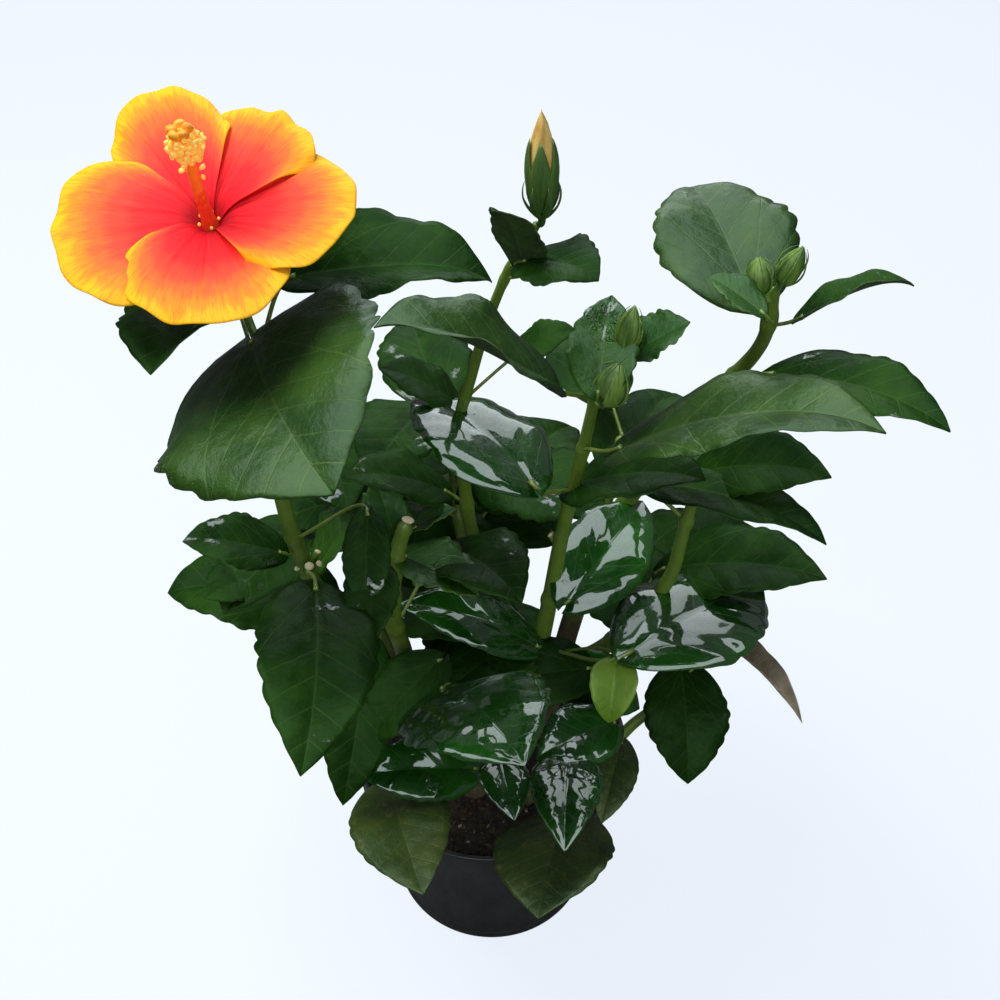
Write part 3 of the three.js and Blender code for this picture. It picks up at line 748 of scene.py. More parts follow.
PETIOLE_RISE = 40.0  # degrees above level at which a stalk leaves its limb
LEAF_ROWS = 45
LEAF_COLUMNS = 17
LEAF_THICKNESS = 0.35  # mm
STALK_STEPS = 15
STALK_SIDES = 10
VEINS = 7.0  # side veins along the midrib
VEIN_SLANT = 0.84  # how far a side vein runs forward for each step outwards
LEAF_HABITS = {
    "broad": dict(fold=13, droop=30, tip_curl=25, cup=0.16, ripple=0.07, teeth=9, tooth=0.07, paint="deep"),
    "folded": dict(fold=24, droop=22, tip_curl=35, cup=0.10, ripple=0.10, teeth=8, tooth=0.07, paint="satin"),
    "cupped": dict(fold=24, droop=22, tip_curl=35, cup=0.10, ripple=0.10, teeth=8, tooth=0.07, paint="deep"),
    "satin": dict(fold=13, droop=30, tip_curl=25, cup=0.16, ripple=0.07, teeth=9, tooth=0.07, paint="satin"),
    "wet": dict(fold=9, droop=34, tip_curl=15, cup=0.22, ripple=0.05, teeth=8, tooth=0.05, paint="wet"),
    "olive": dict(fold=9, droop=26, tip_curl=10, cup=0.14, ripple=0.04, teeth=9, tooth=0.04, paint="olive"),
    "young": dict(fold=20, droop=20, tip_curl=10, cup=0.06, ripple=0.09, teeth=7, tooth=0.14, paint="young"),
    "flap": dict(fold=30, droop=70, tip_curl=20, cup=0.10, ripple=0.05, teeth=6, tooth=0.03, paint="lime"),
    "dry": dict(fold=38, droop=20, tip_curl=30, cup=-0.50, ripple=0.16, teeth=6, tooth=0.05, paint="dry"),
}
PAINTS = ("deep", "wet", "satin", "olive", "young", "lime", "dry")


def leaf_outline(s):
    """Half-width of an ovate leaf along its midrib, from 0 at the base through 1 to 0 at the tip."""
    peak = 0.55 / 1.5
    return s**0.55 * (1 - s) ** 0.95 / (peak**0.55 * (1 - peak) ** 0.95)


def blade_surface(base, row, draw):
    """The upper side, under side and vein coordinates of one leaf blade, each on a rows x columns grid.

    The midrib starts at the base along the heading and bends down with s; a point at share t of
    the half-width stands off it sideways, lifted by the fold, sunk by the cupping, and waved by
    the ripple and by the quilting between side veins.
    """
    _, _, _, bearing, pitch, length, roll, width, habit = row
    style = LEAF_HABITS[habit]
    s = np.linspace(0.0, 1.0, LEAF_ROWS)
    even = np.linspace(-1.0, 1.0, LEAF_COLUMNS)
    t = np.sign(even) * np.abs(even) ** 1.25
    along = heading(bearing, pitch)
    up = heading(bearing, pitch + 90)
    side = np.cross(along, up)
    turn = math.radians(roll)
    up = up * math.cos(turn) + side * math.sin(turn)
    side = np.cross(along, up)

    bend = np.radians(style["droop"] * s + (style["tip_curl"] + draw.uniform(-10, 10)) * s**5)
    yaw = np.radians(draw.uniform(-9, 9)) * s**2
    step = (along * np.cos(bend)[:, None] - up * np.sin(bend)[:, None]) * np.cos(yaw)[:, None]
    step += side * np.sin(yaw)[:, None]
    stride = 0.5 * (step[1:] + step[:-1]) * length / (LEAF_ROWS - 1)
    midrib = base + np.vstack([np.zeros(3), np.cumsum(stride, axis=0)])
    lifted = up * np.cos(bend)[:, None] + along * np.sin(bend)[:, None]
    twist = np.radians(draw.uniform(-12, 12)) * s[:, None]
    sideways = side * np.cos(twist) + lifted * np.sin(twist)
    normal = lifted * np.cos(twist) - side * np.sin(twist)

    reach = np.abs(t)[None]
    phase = style["teeth"] * s[:, None] ** 0.9 + draw.uniform(0, 1)
    phase = phase + 0.35 * (t[None] > 0)
    grown = np.clip((s[:, None] - 0.12) / 0.2, 0, 1)
    teeth = style["tooth"] * (np.abs(np.sin(np.pi * phase)) - 0.65) * grown * reach**3
    half = np.maximum(0.5 * length * width * leaf_outline(s), np.where(s < 0.5, 0.9, 0.2))[:, None]
    across = half * t[None] * (1.0 + teeth)
    forward = 0.05 * reach * np.sin(np.pi * s)[:, None] - 0.09 * reach**2 * np.exp(-s / 0.09)[:, None]

    fold = math.radians(style["fold"] + draw.uniform(-3, 3))
    height = half * math.sin(fold) * (np.sqrt(t[None] ** 2 + 0.003) - 0.055)
    height = height - style["cup"] * half * reach**2.4
    wave = np.sin(2 * np.pi * (2.3 * s[:, None] + draw.uniform(0, 1)) + 2.1 * (t[None] > 0))
    height = height + style["ripple"] * half * reach**3 * wave
    vein_run = (s[:, None] + forward) - VEIN_SLANT * np.abs(across) / length
    quilt = (0.5 - 0.5 * np.cos(2 * np.pi * VEINS * vein_run)) ** 0.7 * reach * (1 - reach**5)
    height = height + 0.010 * length * quilt * np.minimum(1.0, half / (0.15 * length))
    height = height - 0.006 * length * np.exp(-((across / (0.02 * length)) ** 2)) * (1 - s[:, None])

    upper = midrib[:, None] + sideways[:, None] * (across * math.cos(fold))[..., None]
    upper = upper + normal[:, None] * height[..., None] + along * (forward * length)[..., None]
    keel = 0.012 * length * (1 - s[:, None]) ** 0.8 * np.exp(-((across / (0.018 * length)) ** 2))
    ribs = 0.2 * np.exp(-(((vein_run * VEINS) % 1.0 - 0.5) ** 2 * 4 - 1) ** 2 / 0.05) * reach * (1 - reach)
    lower = upper - normal[:, None] * (LEAF_THICKNESS + keel + ribs)[..., None]
    veins = np.stack([0.5 + across / length, s[:, None] + forward], -1)
    return upper, lower, veins


def shell_faces(rows, columns):
    """Faces of a closed shell of two grids: upper, lower turned over, and the wall round the rim."""
    grid = grid_faces(rows, columns)
    count = rows * columns
    number = np.arange(count).reshape(rows, columns)
    rim = np.concatenate([number[0, :], number[1:, -1], number[-1, -2::-1], number[-2:0:-1, 0]])
    after = np.roll(rim, -1)
    return grid, grid[:, ::-1] + count, np.stack([rim, rim + count, after + count, after], 1)


UPPER_FACES, LOWER_FACES, RIM_FACES = shell_faces(LEAF_ROWS, LEAF_COLUMNS)


def joined_mesh(parts):
    """Points and faces of several (points, faces) parts, renumbered into one."""
    points, faces, start = [], [], 0
    for part_points, part_faces in parts:
        points.append(part_points)
        faces += [[corner + start for corner in face] for face in part_faces]
        start += len(part_points)
    return np.vstack(points), faces


def stalk_route(joint, row, base):
    """A cubic from the limb to the blade's base, leaving at the stalk's rise, arriving along the blade."""
    reach = np.linalg.norm(base - joint)
    leave = joint + heading(row[1], PETIOLE_RISE) * reach * 0.4
    arrive = base - heading(row[3], row[4]) * reach * 0.28
    t = np.linspace(0.0, 1.0, STALK_STEPS)[:, None]
    route = (1 - t) ** 3 * joint + 3 * (1 - t) ** 2 * t * leave + 3 * (1 - t) * t**2 * arrive
    return route + t**3 * (base + heading(row[3], row[4]) * 1.2)


def vein_group():
    """Shader group: from vein coordinates it makes the veins' mask and the fine net between them."""
    group = bpy.data.node_groups.new("leaf_veins", "ShaderNodeTree")
    group.interface.new_socket(name="Coordinates", in_out="INPUT", socket_type="NodeSocketVector")
    group.interface.new_socket(name="Veins", in_out="OUTPUT", socket_type="NodeSocketFloat")
    group.interface.new_socket(name="Net", in_out="OUTPUT", socket_type="NodeSocketFloat")
    source = group.nodes.new("NodeGroupInput").outputs["Coordinates"]
    result = group.nodes.new("NodeGroupOutput")
    wobble = node(group, "ShaderNodeTexNoise", Scale=7.0, Detail=2.0)
    group.links.new(source, wobble.inputs["Vector"])
    split = group.nodes.new("ShaderNodeSeparateXYZ")
    group.links.new(source, split.inputs[0])
    shift = math_node(group, "MULTIPLY_ADD", wobble.outputs[0], 0.03, -0.015)
    x = math_node(group, "ABSOLUTE", math_node(group, "SUBTRACT", split.outputs[0], 0.5))
    y = math_node(group, "ADD", split.outputs[1], shift)
    width = math_node(group, "MULTIPLY_ADD", y, -0.009, 0.013)
    midrib = math_node(group, "SUBTRACT", 1.0, math_node(group, "DIVIDE", x, width))
    run = math_node(group, "MULTIPLY", math_node(group, "MULTIPLY_ADD", x, -VEIN_SLANT, y), VEINS)
    phase = math_node(group, "FRACT", math_node(group, "ADD", run, 0.5))
    gap = math_node(group, "ABSOLUTE", math_node(group, "SUBTRACT", phase, 0.5))
    thin = math_node(group, "MULTIPLY_ADD", x, -0.10, 0.055)
    thin = math_node(group, "MAXIMUM", thin, 0.012)
    side = math_node(group, "SUBTRACT", 1.0, math_node(group, "DIVIDE", gap, thin))
    slope = math_node(group, "ABSOLUTE", math_node(group, "MULTIPLY_ADD", y, -0.50, x))
    basal = math_node(group, "SUBTRACT", 0.9, math_node(group, "DIVIDE", slope, 0.008))
    veins = math_node(group, "MAXIMUM", math_node(group, "MAXIMUM", midrib, side), basal)
    clamp = group.nodes.new("ShaderNodeClamp")
    group.links.new(veins, clamp.inputs[0])
    group.links.new(clamp.outputs[0], result.inputs["Veins"])
    cells = node(group, "ShaderNodeTexVoronoi", feature="DISTANCE_TO_EDGE", Scale=48.0)
    group.links.new(source, cells.inputs["Vector"])
    net = math_node(group, "SUBTRACT", 1.0, math_node(group, "DIVIDE", cells.outputs["Distance"], 0.12))
    bounded = group.nodes.new("ShaderNodeClamp")
    group.links.new(net, bounded.inputs[0])
    group.links.new(bounded.outputs[0], result.inputs["Net"])
    return group


VEIN_GROUP = vein_group()


def leaf_paint(name, deep, light, vein, dry_gloss, wet_share, sheen=0.2, spots=None):
    """A leaf surface: two greens in soft blotches, paler veins and net, and gloss with wet patches.

    `dry_gloss` is the roughness where dry and `sheen` how strongly it reflects there; `wet_share`
    (0 to 1) is how much of the surface is under a film of water.
    """
    material = plain_material(name, deep, dry_gloss, Specular_IOR_Level=sheen, Coat_Roughness=0.05)
    tree = material.node_tree
    shader = tree.nodes["Principled BSDF"]
    uv = node(tree, "ShaderNodeUVMap", uv_map="veins")
    veins = node(tree, "ShaderNodeGroup", node_tree=VEIN_GROUP)
    tree.links.new(uv.outputs[0], veins.inputs["Coordinates"])
    blotch = ramp_node(tree, noise_at(tree, 38.0, 4.0, 0.6), [(0.35, 0.0), (0.7, 1.0)])
    base = mix_colours(tree, blotch, deep, light)
    if spots is not None:
        speck = ramp_node(tree, noise_at(tree, 190.0, 5.0, 0.7), [(0.55, 0.0), (0.72, 0.8)])
        base = mix_colours(tree, speck, base, spots)
    net = math_node(tree, "MULTIPLY", veins.outputs["Net"], 0.05)
    base = mix_colours(tree, net, base, vein)
    line = math_node(tree, "MULTIPLY", veins.outputs["Veins"], 0.40)
    base = mix_colours(tree, line, base, vein)
    tree.links.new(base, shader.inputs["Base Color"])
    threshold = 0.72 - 0.42 * wet_share
    wet = ramp_node(tree, noise_at(tree, 34.0, 6.0, 0.66), [(threshold, 0.0), (threshold + 0.05, 1.0)])
    gloss = mix_colours(tree, wet, (dry_gloss,) * 3, (0.16,) * 3)
    tree.links.new(gloss, shader.inputs["Roughness"])
    tree.links.new(wet, shader.inputs["Coat Weight"])
    relief = math_node(tree, "MULTIPLY_ADD", veins.outputs["Veins"], -0.12, 0.12)
    relief = math_node(tree, "MULTIPLY_ADD", veins.outputs["Net"], -0.05, relief)
    relief = math_node(tree, "MULTIPLY_ADD", noise_at(tree, 80.0, 3.0, 0.5), 2.2, relief)
    film = noise_at(tree, 150.0, 4.0, 0.6)
    relief = math_node(tree, "MULTIPLY_ADD", math_node(tree, "MULTIPLY", wet, film), 1.5, relief)
    add_bump(tree, relief, 0.6, 0.0012)
    return material


upper_paints = {
    "deep": leaf_paint(
        "leaf_deep", (0.006, 0.029, 0.003), (0.018, 0.064, 0.006), (0.05, 0.11, 0.02),
        dry_gloss=0.38, wet_share=0.24, sheen=0.03),
    "wet": leaf_paint(
        "leaf_wet", (0.004, 0.045, 0.003), (0.013, 0.100, 0.006), (0.05, 0.15, 0.03),
        dry_gloss=0.32, wet_share=0.88, sheen=0.06),
    "satin": leaf_paint(
        "leaf_satin", (0.010, 0.042, 0.004), (0.030, 0.078, 0.008), (0.08, 0.15, 0.03),
        dry_gloss=0.36, wet_share=0.12, sheen=0.18),
    "olive": leaf_paint(
        "leaf_olive", (0.016, 0.045, 0.004), (0.055, 0.090, 0.008), (0.11, 0.15, 0.03),
        dry_gloss=0.42, wet_share=0.15, spots=(0.12, 0.14, 0.02)),
    "young": leaf_paint(
        "leaf_young", (0.011, 0.062, 0.004), (0.034, 0.12, 0.009), (0.12, 0.22, 0.05),
        dry_gloss=0.32, wet_share=0.30),
    "lime": leaf_paint(
        "leaf_lime", (0.09, 0.20, 0.010), (0.17, 0.30, 0.02), (0.26, 0.38, 0.06),
        dry_gloss=0.4, wet_share=0.2),
    "dry": leaf_paint(
        "leaf_dry", (0.42, 0.35, 0.24), (0.74, 0.66, 0.52), (0.80, 0.72, 0.58),
        dry_gloss=0.7, wet_share=0.05),
}
lower_paints = {
    "deep": leaf_paint(
        "leaf_back", (0.025, 0.055, 0.014), (0.045, 0.085, 0.024), (0.10, 0.16, 0.05),
        dry_gloss=0.6, wet_share=0.1),
    "young": leaf_paint(
        "leaf_back_young", (0.08, 0.17, 0.02), (0.12, 0.22, 0.03), (0.2, 0.3, 0.08),
        dry_gloss=0.55, wet_share=0.1),
    "dry": leaf_paint(
        "leaf_back_dry", (0.42, 0.35, 0.24), (0.74, 0.66, 0.52), (0.80, 0.72, 0.58),
        dry_gloss=0.8, wet_share=0.0),
}
lower_of = {paint: paint if paint in lower_paints else "deep" for paint in PAINTS}
lower_of["lime"] = "young"


def stalk_skin():
    """Leaf stalk skin: smooth lime green, a little darker and duller in blotches."""
    material = plain_material("leaf_stalk", (0.15, 0.24, 0.03), 0.4, Specular_IOR_Level=0.4)
    tree = material.node_tree
    blotch = noise_at(tree, 160.0, 4.0, 0.6)
    colour = mix_colours(tree, blotch, (0.05, 0.11, 0.012), (0.24, 0.33, 0.05))
    tree.links.new(colour, tree.nodes["Principled BSDF"].inputs["Base Color"])
    add_bump(tree, noise_at(tree, 700.0, 3.0), 0.3, 0.0003)
    return material


stalk_paint = stalk_skin()


def blades_piece(name, leaves):
    """One joined piece of closed blades, with the vein map and one bake tile for each side."""
    paints = [*upper_paints.values(), *lower_paints.values()]
    lower_start = len(upper_paints)
    lower_order = list(lower_paints)
    tiles = math.ceil((2 * len(leaves)) ** 0.5)
    points, faces, slots, vein_uv, bake_uv = [], [], [], [], []
    count = LEAF_ROWS * LEAF_COLUMNS
    grid_s, grid_t = np.meshgrid(
        np.linspace(0.02, 0.98, LEAF_ROWS), np.linspace(0.02, 0.98, LEAF_COLUMNS), indexing="ij")
    own = np.stack([grid_t, grid_s], -1).reshape(-1, 2)
    for number, (upper, lower, veins, habit) in enumerate(leaves):
        paint = LEAF_HABITS[habit]["paint"]
        points += [upper.reshape(-1, 3), lower.reshape(-1, 3)]
        start = number * 2 * count
        tile = np.array([divmod(2 * number + k, tiles) for k in (0, 1)], float)
        upper_bake, lower_bake = (own + tile[0]) / tiles, (own + tile[1]) / tiles
        flat = veins.reshape(-1, 2)
        both_veins = np.vstack([flat, flat])
        both_bake = np.vstack([upper_bake, lower_bake])
        rim_bake = np.vstack([upper_bake, upper_bake])
        for part, slot, bake in (
            (UPPER_FACES, PAINTS.index(paint), both_bake),
            (LOWER_FACES, lower_start + lower_order.index(lower_of[paint]), both_bake),
            (RIM_FACES, lower_start + lower_order.index(lower_of[paint]), rim_bake),
        ):
            faces.append(part + start)
            slots.append(np.full(len(part), slot))
            vein_uv.append(both_veins[part].reshape(-1, 2))
            bake_uv.append(bake[part].reshape(-1, 2))
    piece = mesh_piece(name, np.vstack(points) * MM, np.vstack(faces), paints)
    mesh = piece.data
    mesh.polygons.foreach_set("material_index", np.concatenate(slots))
    for label, uv in (("OFBake", bake_uv), ("veins", vein_uv)):
        layer = mesh.uv_layers.new(name=label)
        layer.data.foreach_set("uv", np.vstack(uv).ravel())
    mesh.update()
    return piece


MASSES = {
    "foliage_left": "stem_left",
    "foliage_centre": "stem_centre",
    "foliage_right": "stem_right",
    "foliage_front_left": "stem_front_left",
    "foliage_front_right": "stem_front_right",
    "foliage_bud": "limb_bud",
    "foliage_right_low": "limb_right_low",
    "foliage_side": "limb_side",
    "foliage_left_pruned": "limb_left_pruned",
    "foliage_left_rear": "limb_left_rear",
    "foliage_right_rear": "limb_right_rear",
    "foliage_rear": "limb_rear",
}
for mass, limb in MASSES.items():
    draw = np.random.default_rng(sum(map(ord, mass)))
    leaves, stalk_parts = [], []
    for row in LEAVES[limb]:
        joint = at_share(ROUTES[limb], min(row[0], 0.995))
        base = joint + heading(row[1], PETIOLE_RISE) * row[2]
        leaves.append((*blade_surface(base, row, draw), row[8]))
        run = np.linspace(0.0, 1.0, STALK_STEPS)
        thick = 0.85 + 0.55 * np.exp(-run / 0.06) + 0.25 * np.exp(-(1 - run) / 0.05)
        thick = thick * (0.6 + 0.4 * min(1.0, row[5] / 70))
        route = stalk_route(joint, row, base)
        stalk_parts.append(closed_tube(tube_points(route, thick[:, None], STALK_SIDES)))
    blades = blades_piece(f"leaves_{mass[8:]}", leaves)
    points, faces = joined_mesh(stalk_parts)
    stalks = mesh_piece(f"stalks_{mass[8:]}", points * MM, faces, [stalk_paint])
    for piece in (blades, stalks):
        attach(piece, "root")
    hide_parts(mass)

# ---------------------------------------------------------------------------------------------
# Bloom: five broad soft petals, each lying over the next one clockwise, in a shallow funnel on a
# green calyx with narrow bracts under it. A red column of joined filaments stands in the throat
# and ends in a ball of yellow anthers and five stigma pads. The stalk grows on from the left stem.
BLOOM_CENTRE = np.array([-96.0, 17.0, 391.0])
BLOOM_AXIS = heading(-108, 74)
BLOOM_RADIUS = 54.0
BLOOM_DEPTH = 12.0
PETAL_ROWS = 60
PETAL_COLUMNS = 61
PETAL_THICKNESS = 0.5
PETAL_OVERLAP = 1.4  # mm that a petal's clockwise edge stands above its own middle
# Bearings of each petal's two side edges in the bloom's own plane, counter-clockwise one first,
# then its reach in mm at five even places from one side to the other.
PETALS = (
    (156, 79, (38, 49, 60, 52, 41)),
    (104, 20, (40, 45, 47, 46, 40)),
    (38, -56, (40, 49, 53, 50, 36)),
    (-34, -146, (40, 51, 51, 43, 31)),
    (-104, -221, (40, 49, 51.5, 50, 40)),
)


def bloom_to_world(local):
    """Bloom-frame points (across, up, along its axis) to world: the shortest turn from +Z to the axis."""
    cross = np.cross((0.0, 0.0, 1.0), BLOOM_AXIS)
    matrix = np.array([[0, -cross[2], cross[1]], [cross[2], 0, -cross[0]], [-cross[1], cross[0], 0]])
    turn = np.eye(3) + matrix + matrix @ matrix / (1.0 + BLOOM_AXIS[2])
    return local @ turn.T + BLOOM_CENTRE


def dish_height(q):
    """Height of the petals along the axis at share q of the radius: a funnel that flattens outwards."""
    return BLOOM_DEPTH * (q**0.8 - 1) + 4 - 5 * np.exp(-((q / 0.10) ** 2))


def petal_surface(first, last, reaches, draw):
    """Upper and lower side of one petal: share u from throat to edge, v from -1 to 1 clockwise.

    A point stands at an angle between the two side bearings, which spread a little towards the
    throat, and at u times the edge's reach, a quartic through the five given reaches. The
    clockwise side is lifted, the edge rolls back and is waved, and pleats run out from the throat.
    """
    u = np.linspace(0.04, 1.0, PETAL_ROWS)[:, None]
    v = np.linspace(-1.0, 1.0, PETAL_COLUMNS)[None]
    edge = np.polyval(np.polyfit(np.linspace(-1, 1, 5), reaches, 4), v) / BLOOM_RADIUS
    edge = edge - 0.10 * np.abs(v) ** 9
    waviness = 0.010 * np.sin(6.0 * v + draw.uniform(0, 6)) + 0.008 * np.sin(15.0 * v + draw.uniform(0, 6))
    reach = u * (edge + waviness * u**4)
    spread = 0.5 * (first - last) * (1.0 + 0.18 * (1.0 - u) ** 2)
    angle = np.radians(0.5 * (first + last) - v * spread)
    height = dish_height(reach)
    height = height + PETAL_OVERLAP * v * np.minimum(1.0, u / 0.35) + 0.8 * np.abs(v) ** 3 * u
    ruffle = np.sin(11.0 * v + draw.uniform(0, 6)) + 0.7 * np.sin(19.0 * v + draw.uniform(0, 6))
    height = height + 0.75 * ruffle * u**5
    height = height - 3.2 * np.clip((u - 0.72) / 0.28, 0, 1) ** 2
    pleat = np.sin(24.0 * v + draw.uniform(0, 6)) + np.sin(37.0 * v + draw.uniform(0, 6))
    height = height + 0.22 * pleat * np.sin(np.pi * u) * (1 - v**4)
    height = height - 0.9 * np.exp(-((v / 0.12) ** 2)) * np.sin(np.pi * u) ** 1.5
    x = BLOOM_RADIUS * reach * np.cos(angle)
    y = BLOOM_RADIUS * reach * np.sin(angle)
    top = np.stack([x, y, height], -1)
    thick = PETAL_THICKNESS * (0.4 + 0.6 * np.sin(np.pi * np.clip(u * 0.9, 0, 1)) * (1 - 0.5 * v**6))
    bottom = top - np.stack([0 * x, 0 * x, np.broadcast_to(thick, x.shape)], -1)
    flat = np.stack([np.broadcast_to((v + 1) / 2, x.shape), np.broadcast_to(u, x.shape)], -1)
    return bloom_to_world(top), bloom_to_world(bottom), flat


def petal_skin():
    """Petal colour by its own map: dark red throat, red, coral, orange and a broad golden edge."""
    material = plain_material("petal_velvet", (0.9, 0.1, 0.02), 0.6, Specular_IOR_Level=0.12)
    tree = material.node_tree
    shader = tree.nodes["Principled BSDF"]
    uv = node(tree, "ShaderNodeUVMap", uv_map="petal").outputs[0]
    split = tree.nodes.new("ShaderNodeSeparateXYZ")
    tree.links.new(uv, split.inputs[0])
    across, along = split.outputs[0], split.outputs[1]
    streak = noise_at(tree, 9.0, 5.0, 0.6, vector=uv, stretch=(4.5, 0.55, 1.0))
    cloud = noise_at(tree, 34.0, 3.0)
    off_middle = math_node(tree, "ABSOLUTE", math_node(tree, "MULTIPLY_ADD", across, 2.0, -1.0))
    side = math_node(tree, "MULTIPLY", math_node(tree, "POWER", off_middle, 5.0), 0.17)
    side = math_node(tree, "MULTIPLY", side, along)
    reach = math_node(tree, "ADD", along, side)
    reach = math_node(tree, "MULTIPLY_ADD", math_node(tree, "SUBTRACT", streak, 0.5), 0.26, reach)
    reach = math_node(tree, "MULTIPLY_ADD", math_node(tree, "SUBTRACT", cloud, 0.5), 0.16, reach)
    colour = ramp_node(tree, reach, [
        (0.08, (0.36, 0.0, 0.008)),
        (0.24, (0.80, 0.001, 0.012)),
        (0.42, (1.0, 0.012, 0.018)),
        (0.60, (1.0, 0.060, 0.028)),
        (0.75, (1.0, 0.15, 0.022)),
        (0.87, (1.0, 0.29, 0.006)),
        (0.98, (1.0, 0.52, 0.0)),
    ])
    veins = noise_at(tree, 16.0, 3.0, 0.6, vector=uv, stretch=(7.0, 0.35, 1.0))
    lines = ramp_node(tree, veins, [(0.53, 0.0), (0.60, 0.32), (0.66, 0.0)])
    colour = mix_colours(tree, lines, colour, (0.85, 0.02, 0.015))
    tree.links.new(colour, shader.inputs["Base Color"])
    relief = math_node(tree, "ADD", veins, math_node(tree, "MULTIPLY", noise_at(tree, 900.0, 2.0), 0.15))
    add_bump(tree, relief, 0.35, 0.0008)
    return material


petal_paint = petal_skin()
draw = np.random.default_rng(5)
points, faces, flat_uv, bake_uv = [], [], [], []
shell = np.vstack(shell_faces(PETAL_ROWS, PETAL_COLUMNS))
for order, shape in enumerate(PETALS):
    top, bottom, flat = petal_surface(*shape, draw)
    start = 2 * order * PETAL_ROWS * PETAL_COLUMNS
    points += [top.reshape(-1, 3), bottom.reshape(-1, 3)]
    faces.append(shell + start)
    flat = flat.reshape(-1, 2)
    own = np.vstack([flat, flat])
    tiles = np.array([divmod(2 * order + k, 4) for k in (0, 1)], float)
    tiled = np.vstack([(0.02 + 0.96 * flat + tile) / 4 for tile in tiles])
    flat_uv.append(own[shell].reshape(-1, 2))
    bake_uv.append(tiled[shell].reshape(-1, 2))
petals = mesh_piece("bloom_petals_five", np.vstack(points) * MM, np.vstack(faces), [petal_paint])
for label, uv in (("OFBake", bake_uv), ("petal", flat_uv)):
    layer = petals.data.uv_layers.new(name=label)
    layer.data.foreach_set("uv", np.vstack(uv).ravel())
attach(petals, "root")
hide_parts("bloom_petals")

COLUMN_FOOT = -12.5  # mm along the bloom's axis
COLUMN_TIP = 31.0
COLUMN_LEAN = np.array([2.0, 2.0])  # mm that the tip stands off the axis, across and up
ANTHER_BALL = 26.0
ANTHER_REACH = 7.0
ANTHER_COUNT = 96


def column_point(height):
    """The column's centre at a height along the axis: it leans off the axis as the square of height."""
    share = np.clip((np.asarray(height, float) - COLUMN_FOOT) / (COLUMN_TIP - COLUMN_FOOT), 0, 1)
    return np.stack([COLUMN_LEAN[0] * share**1.6, COLUMN_LEAN[1] * share**1.6, np.asarray(height, float)], -1)


def blob(centre, radii, seed, rings=7, sides=9):
    """A small closed lump: a ball squashed to the three radii, with a turned axis and a slight dent."""
    draw = np.random.default_rng(seed)
    polar = np.linspace(0.12, np.pi - 0.12, rings)[:, None]
    angle = np.linspace(0, 2 * np.pi, sides, endpoint=False)[None]
    wide = np.sin(polar)
    unit = np.stack([wide * np.cos(angle), wide * np.sin(angle), np.cos(polar) + 0 * angle], -1)
    unit = unit * (1 + 0.10 * np.cos(2 * angle + draw.uniform(0, 6)))[..., None]
    frame = np.linalg.qr(draw.normal(size=(3, 3)))[0]
    frame = frame * np.sign(np.linalg.det(frame))
    points = unit * np.asarray(radii) @ frame.T + centre
    flat, faces = closed_tube(points)
    return flat, [face[::-1] for face in faces]


def column_skin(name, foot, tip, reach, glow=0.06):
    """Column or anther skin: two colours mixed by height up the column and a fine grain.

    `glow` is painted light: an even emission in the tip colour that brightens the skin under any lamp,
    standing in for light that shines through such thin flesh.
    """
    # Painted light: the skin glows by itself in its tip colour, whatever the lamps do.
    material = plain_material(name, foot, 0.55, Specular_IOR_Level=0.2, Emission_Strength=glow)
    material.node_tree.nodes["Principled BSDF"].inputs["Emission Color"].default_value = (*tip, 1.0)
    tree = material.node_tree
    share = node(tree, "ShaderNodeAttribute", attribute_name="height").outputs["Fac"]
    grain = noise_at(tree, 600.0, 3.0)
    factor = math_node(tree, "MULTIPLY_ADD", math_node(tree, "SUBTRACT", grain, 0.5), 0.5, share)
    colour = mix_colours(tree, ramp_node(tree, factor, reach), foot, tip)
    tree.links.new(colour, tree.nodes["Principled BSDF"].inputs["Base Color"])
    add_bump(tree, grain, 0.4, 0.0003)
    return material


heights = np.linspace(COLUMN_FOOT, COLUMN_TIP, 60)
share = (heights - COLUMN_FOOT) / (COLUMN_TIP - COLUMN_FOOT)
column_line = bloom_to_world(column_point(heights))
column_radius = 2.5 - 1.1 * share + 0.9 * np.exp(-share / 0.06)
column_radius = column_radius * np.sqrt(np.clip((1 - share) / 0.03, 0.15, 1))
ribs = 1 + 0.05 * np.cos(5 * np.linspace(0, 2 * np.pi, 20, endpoint=False))[None]
shaft = closed_tube(tube_points(column_line, column_radius[:, None] * ribs, 20))
draw = np.random.default_rng(8)
filaments, anthers, stigmas = [], [], []
for k in range(ANTHER_COUNT):
    rise = 1 - 2 * (k + 0.5) / ANTHER_COUNT
    turn = math.radians(GOLDEN_ANGLE) * k
    ray = np.array([math.sqrt(1 - rise**2) * math.cos(turn), math.sqrt(1 - rise**2) * math.sin(turn), rise])
    middle = column_point(ANTHER_BALL)
    end = middle + ray * (ANTHER_REACH - 0.9) * draw.uniform(0.80, 1.0)
    root = column_point(ANTHER_BALL + 0.35 * (end[2] - middle[2]))
    run = np.linspace(0, 1, 5)[:, None]
    path = root * (1 - run) + end * run + np.array([0, 0, 0.5]) * np.sin(np.pi * run)
    filaments.append(closed_tube(tube_points(bloom_to_world(path), 0.22, 5)))
    anthers.append(blob(bloom_to_world(end), draw.uniform(0.85, 1.15) * np.array([0.85, 1.0, 1.35]), 900 + k))
for k in range(9):
    turn = 2.4 * k + draw.uniform(-0.3, 0.3)
    root = column_point(ANTHER_BALL - draw.uniform(7, 15))
    end = root + np.array([math.cos(turn), math.sin(turn), 0.5]) * draw.uniform(3.0, 4.2)
    run = np.linspace(0, 1, 5)[:, None]
    filaments.append(closed_tube(tube_points(bloom_to_world(root * (1 - run) + end * run), 0.25, 5)))
    anthers.append(blob(bloom_to_world(end), np.array([0.8, 0.95, 1.2]), 700 + k))
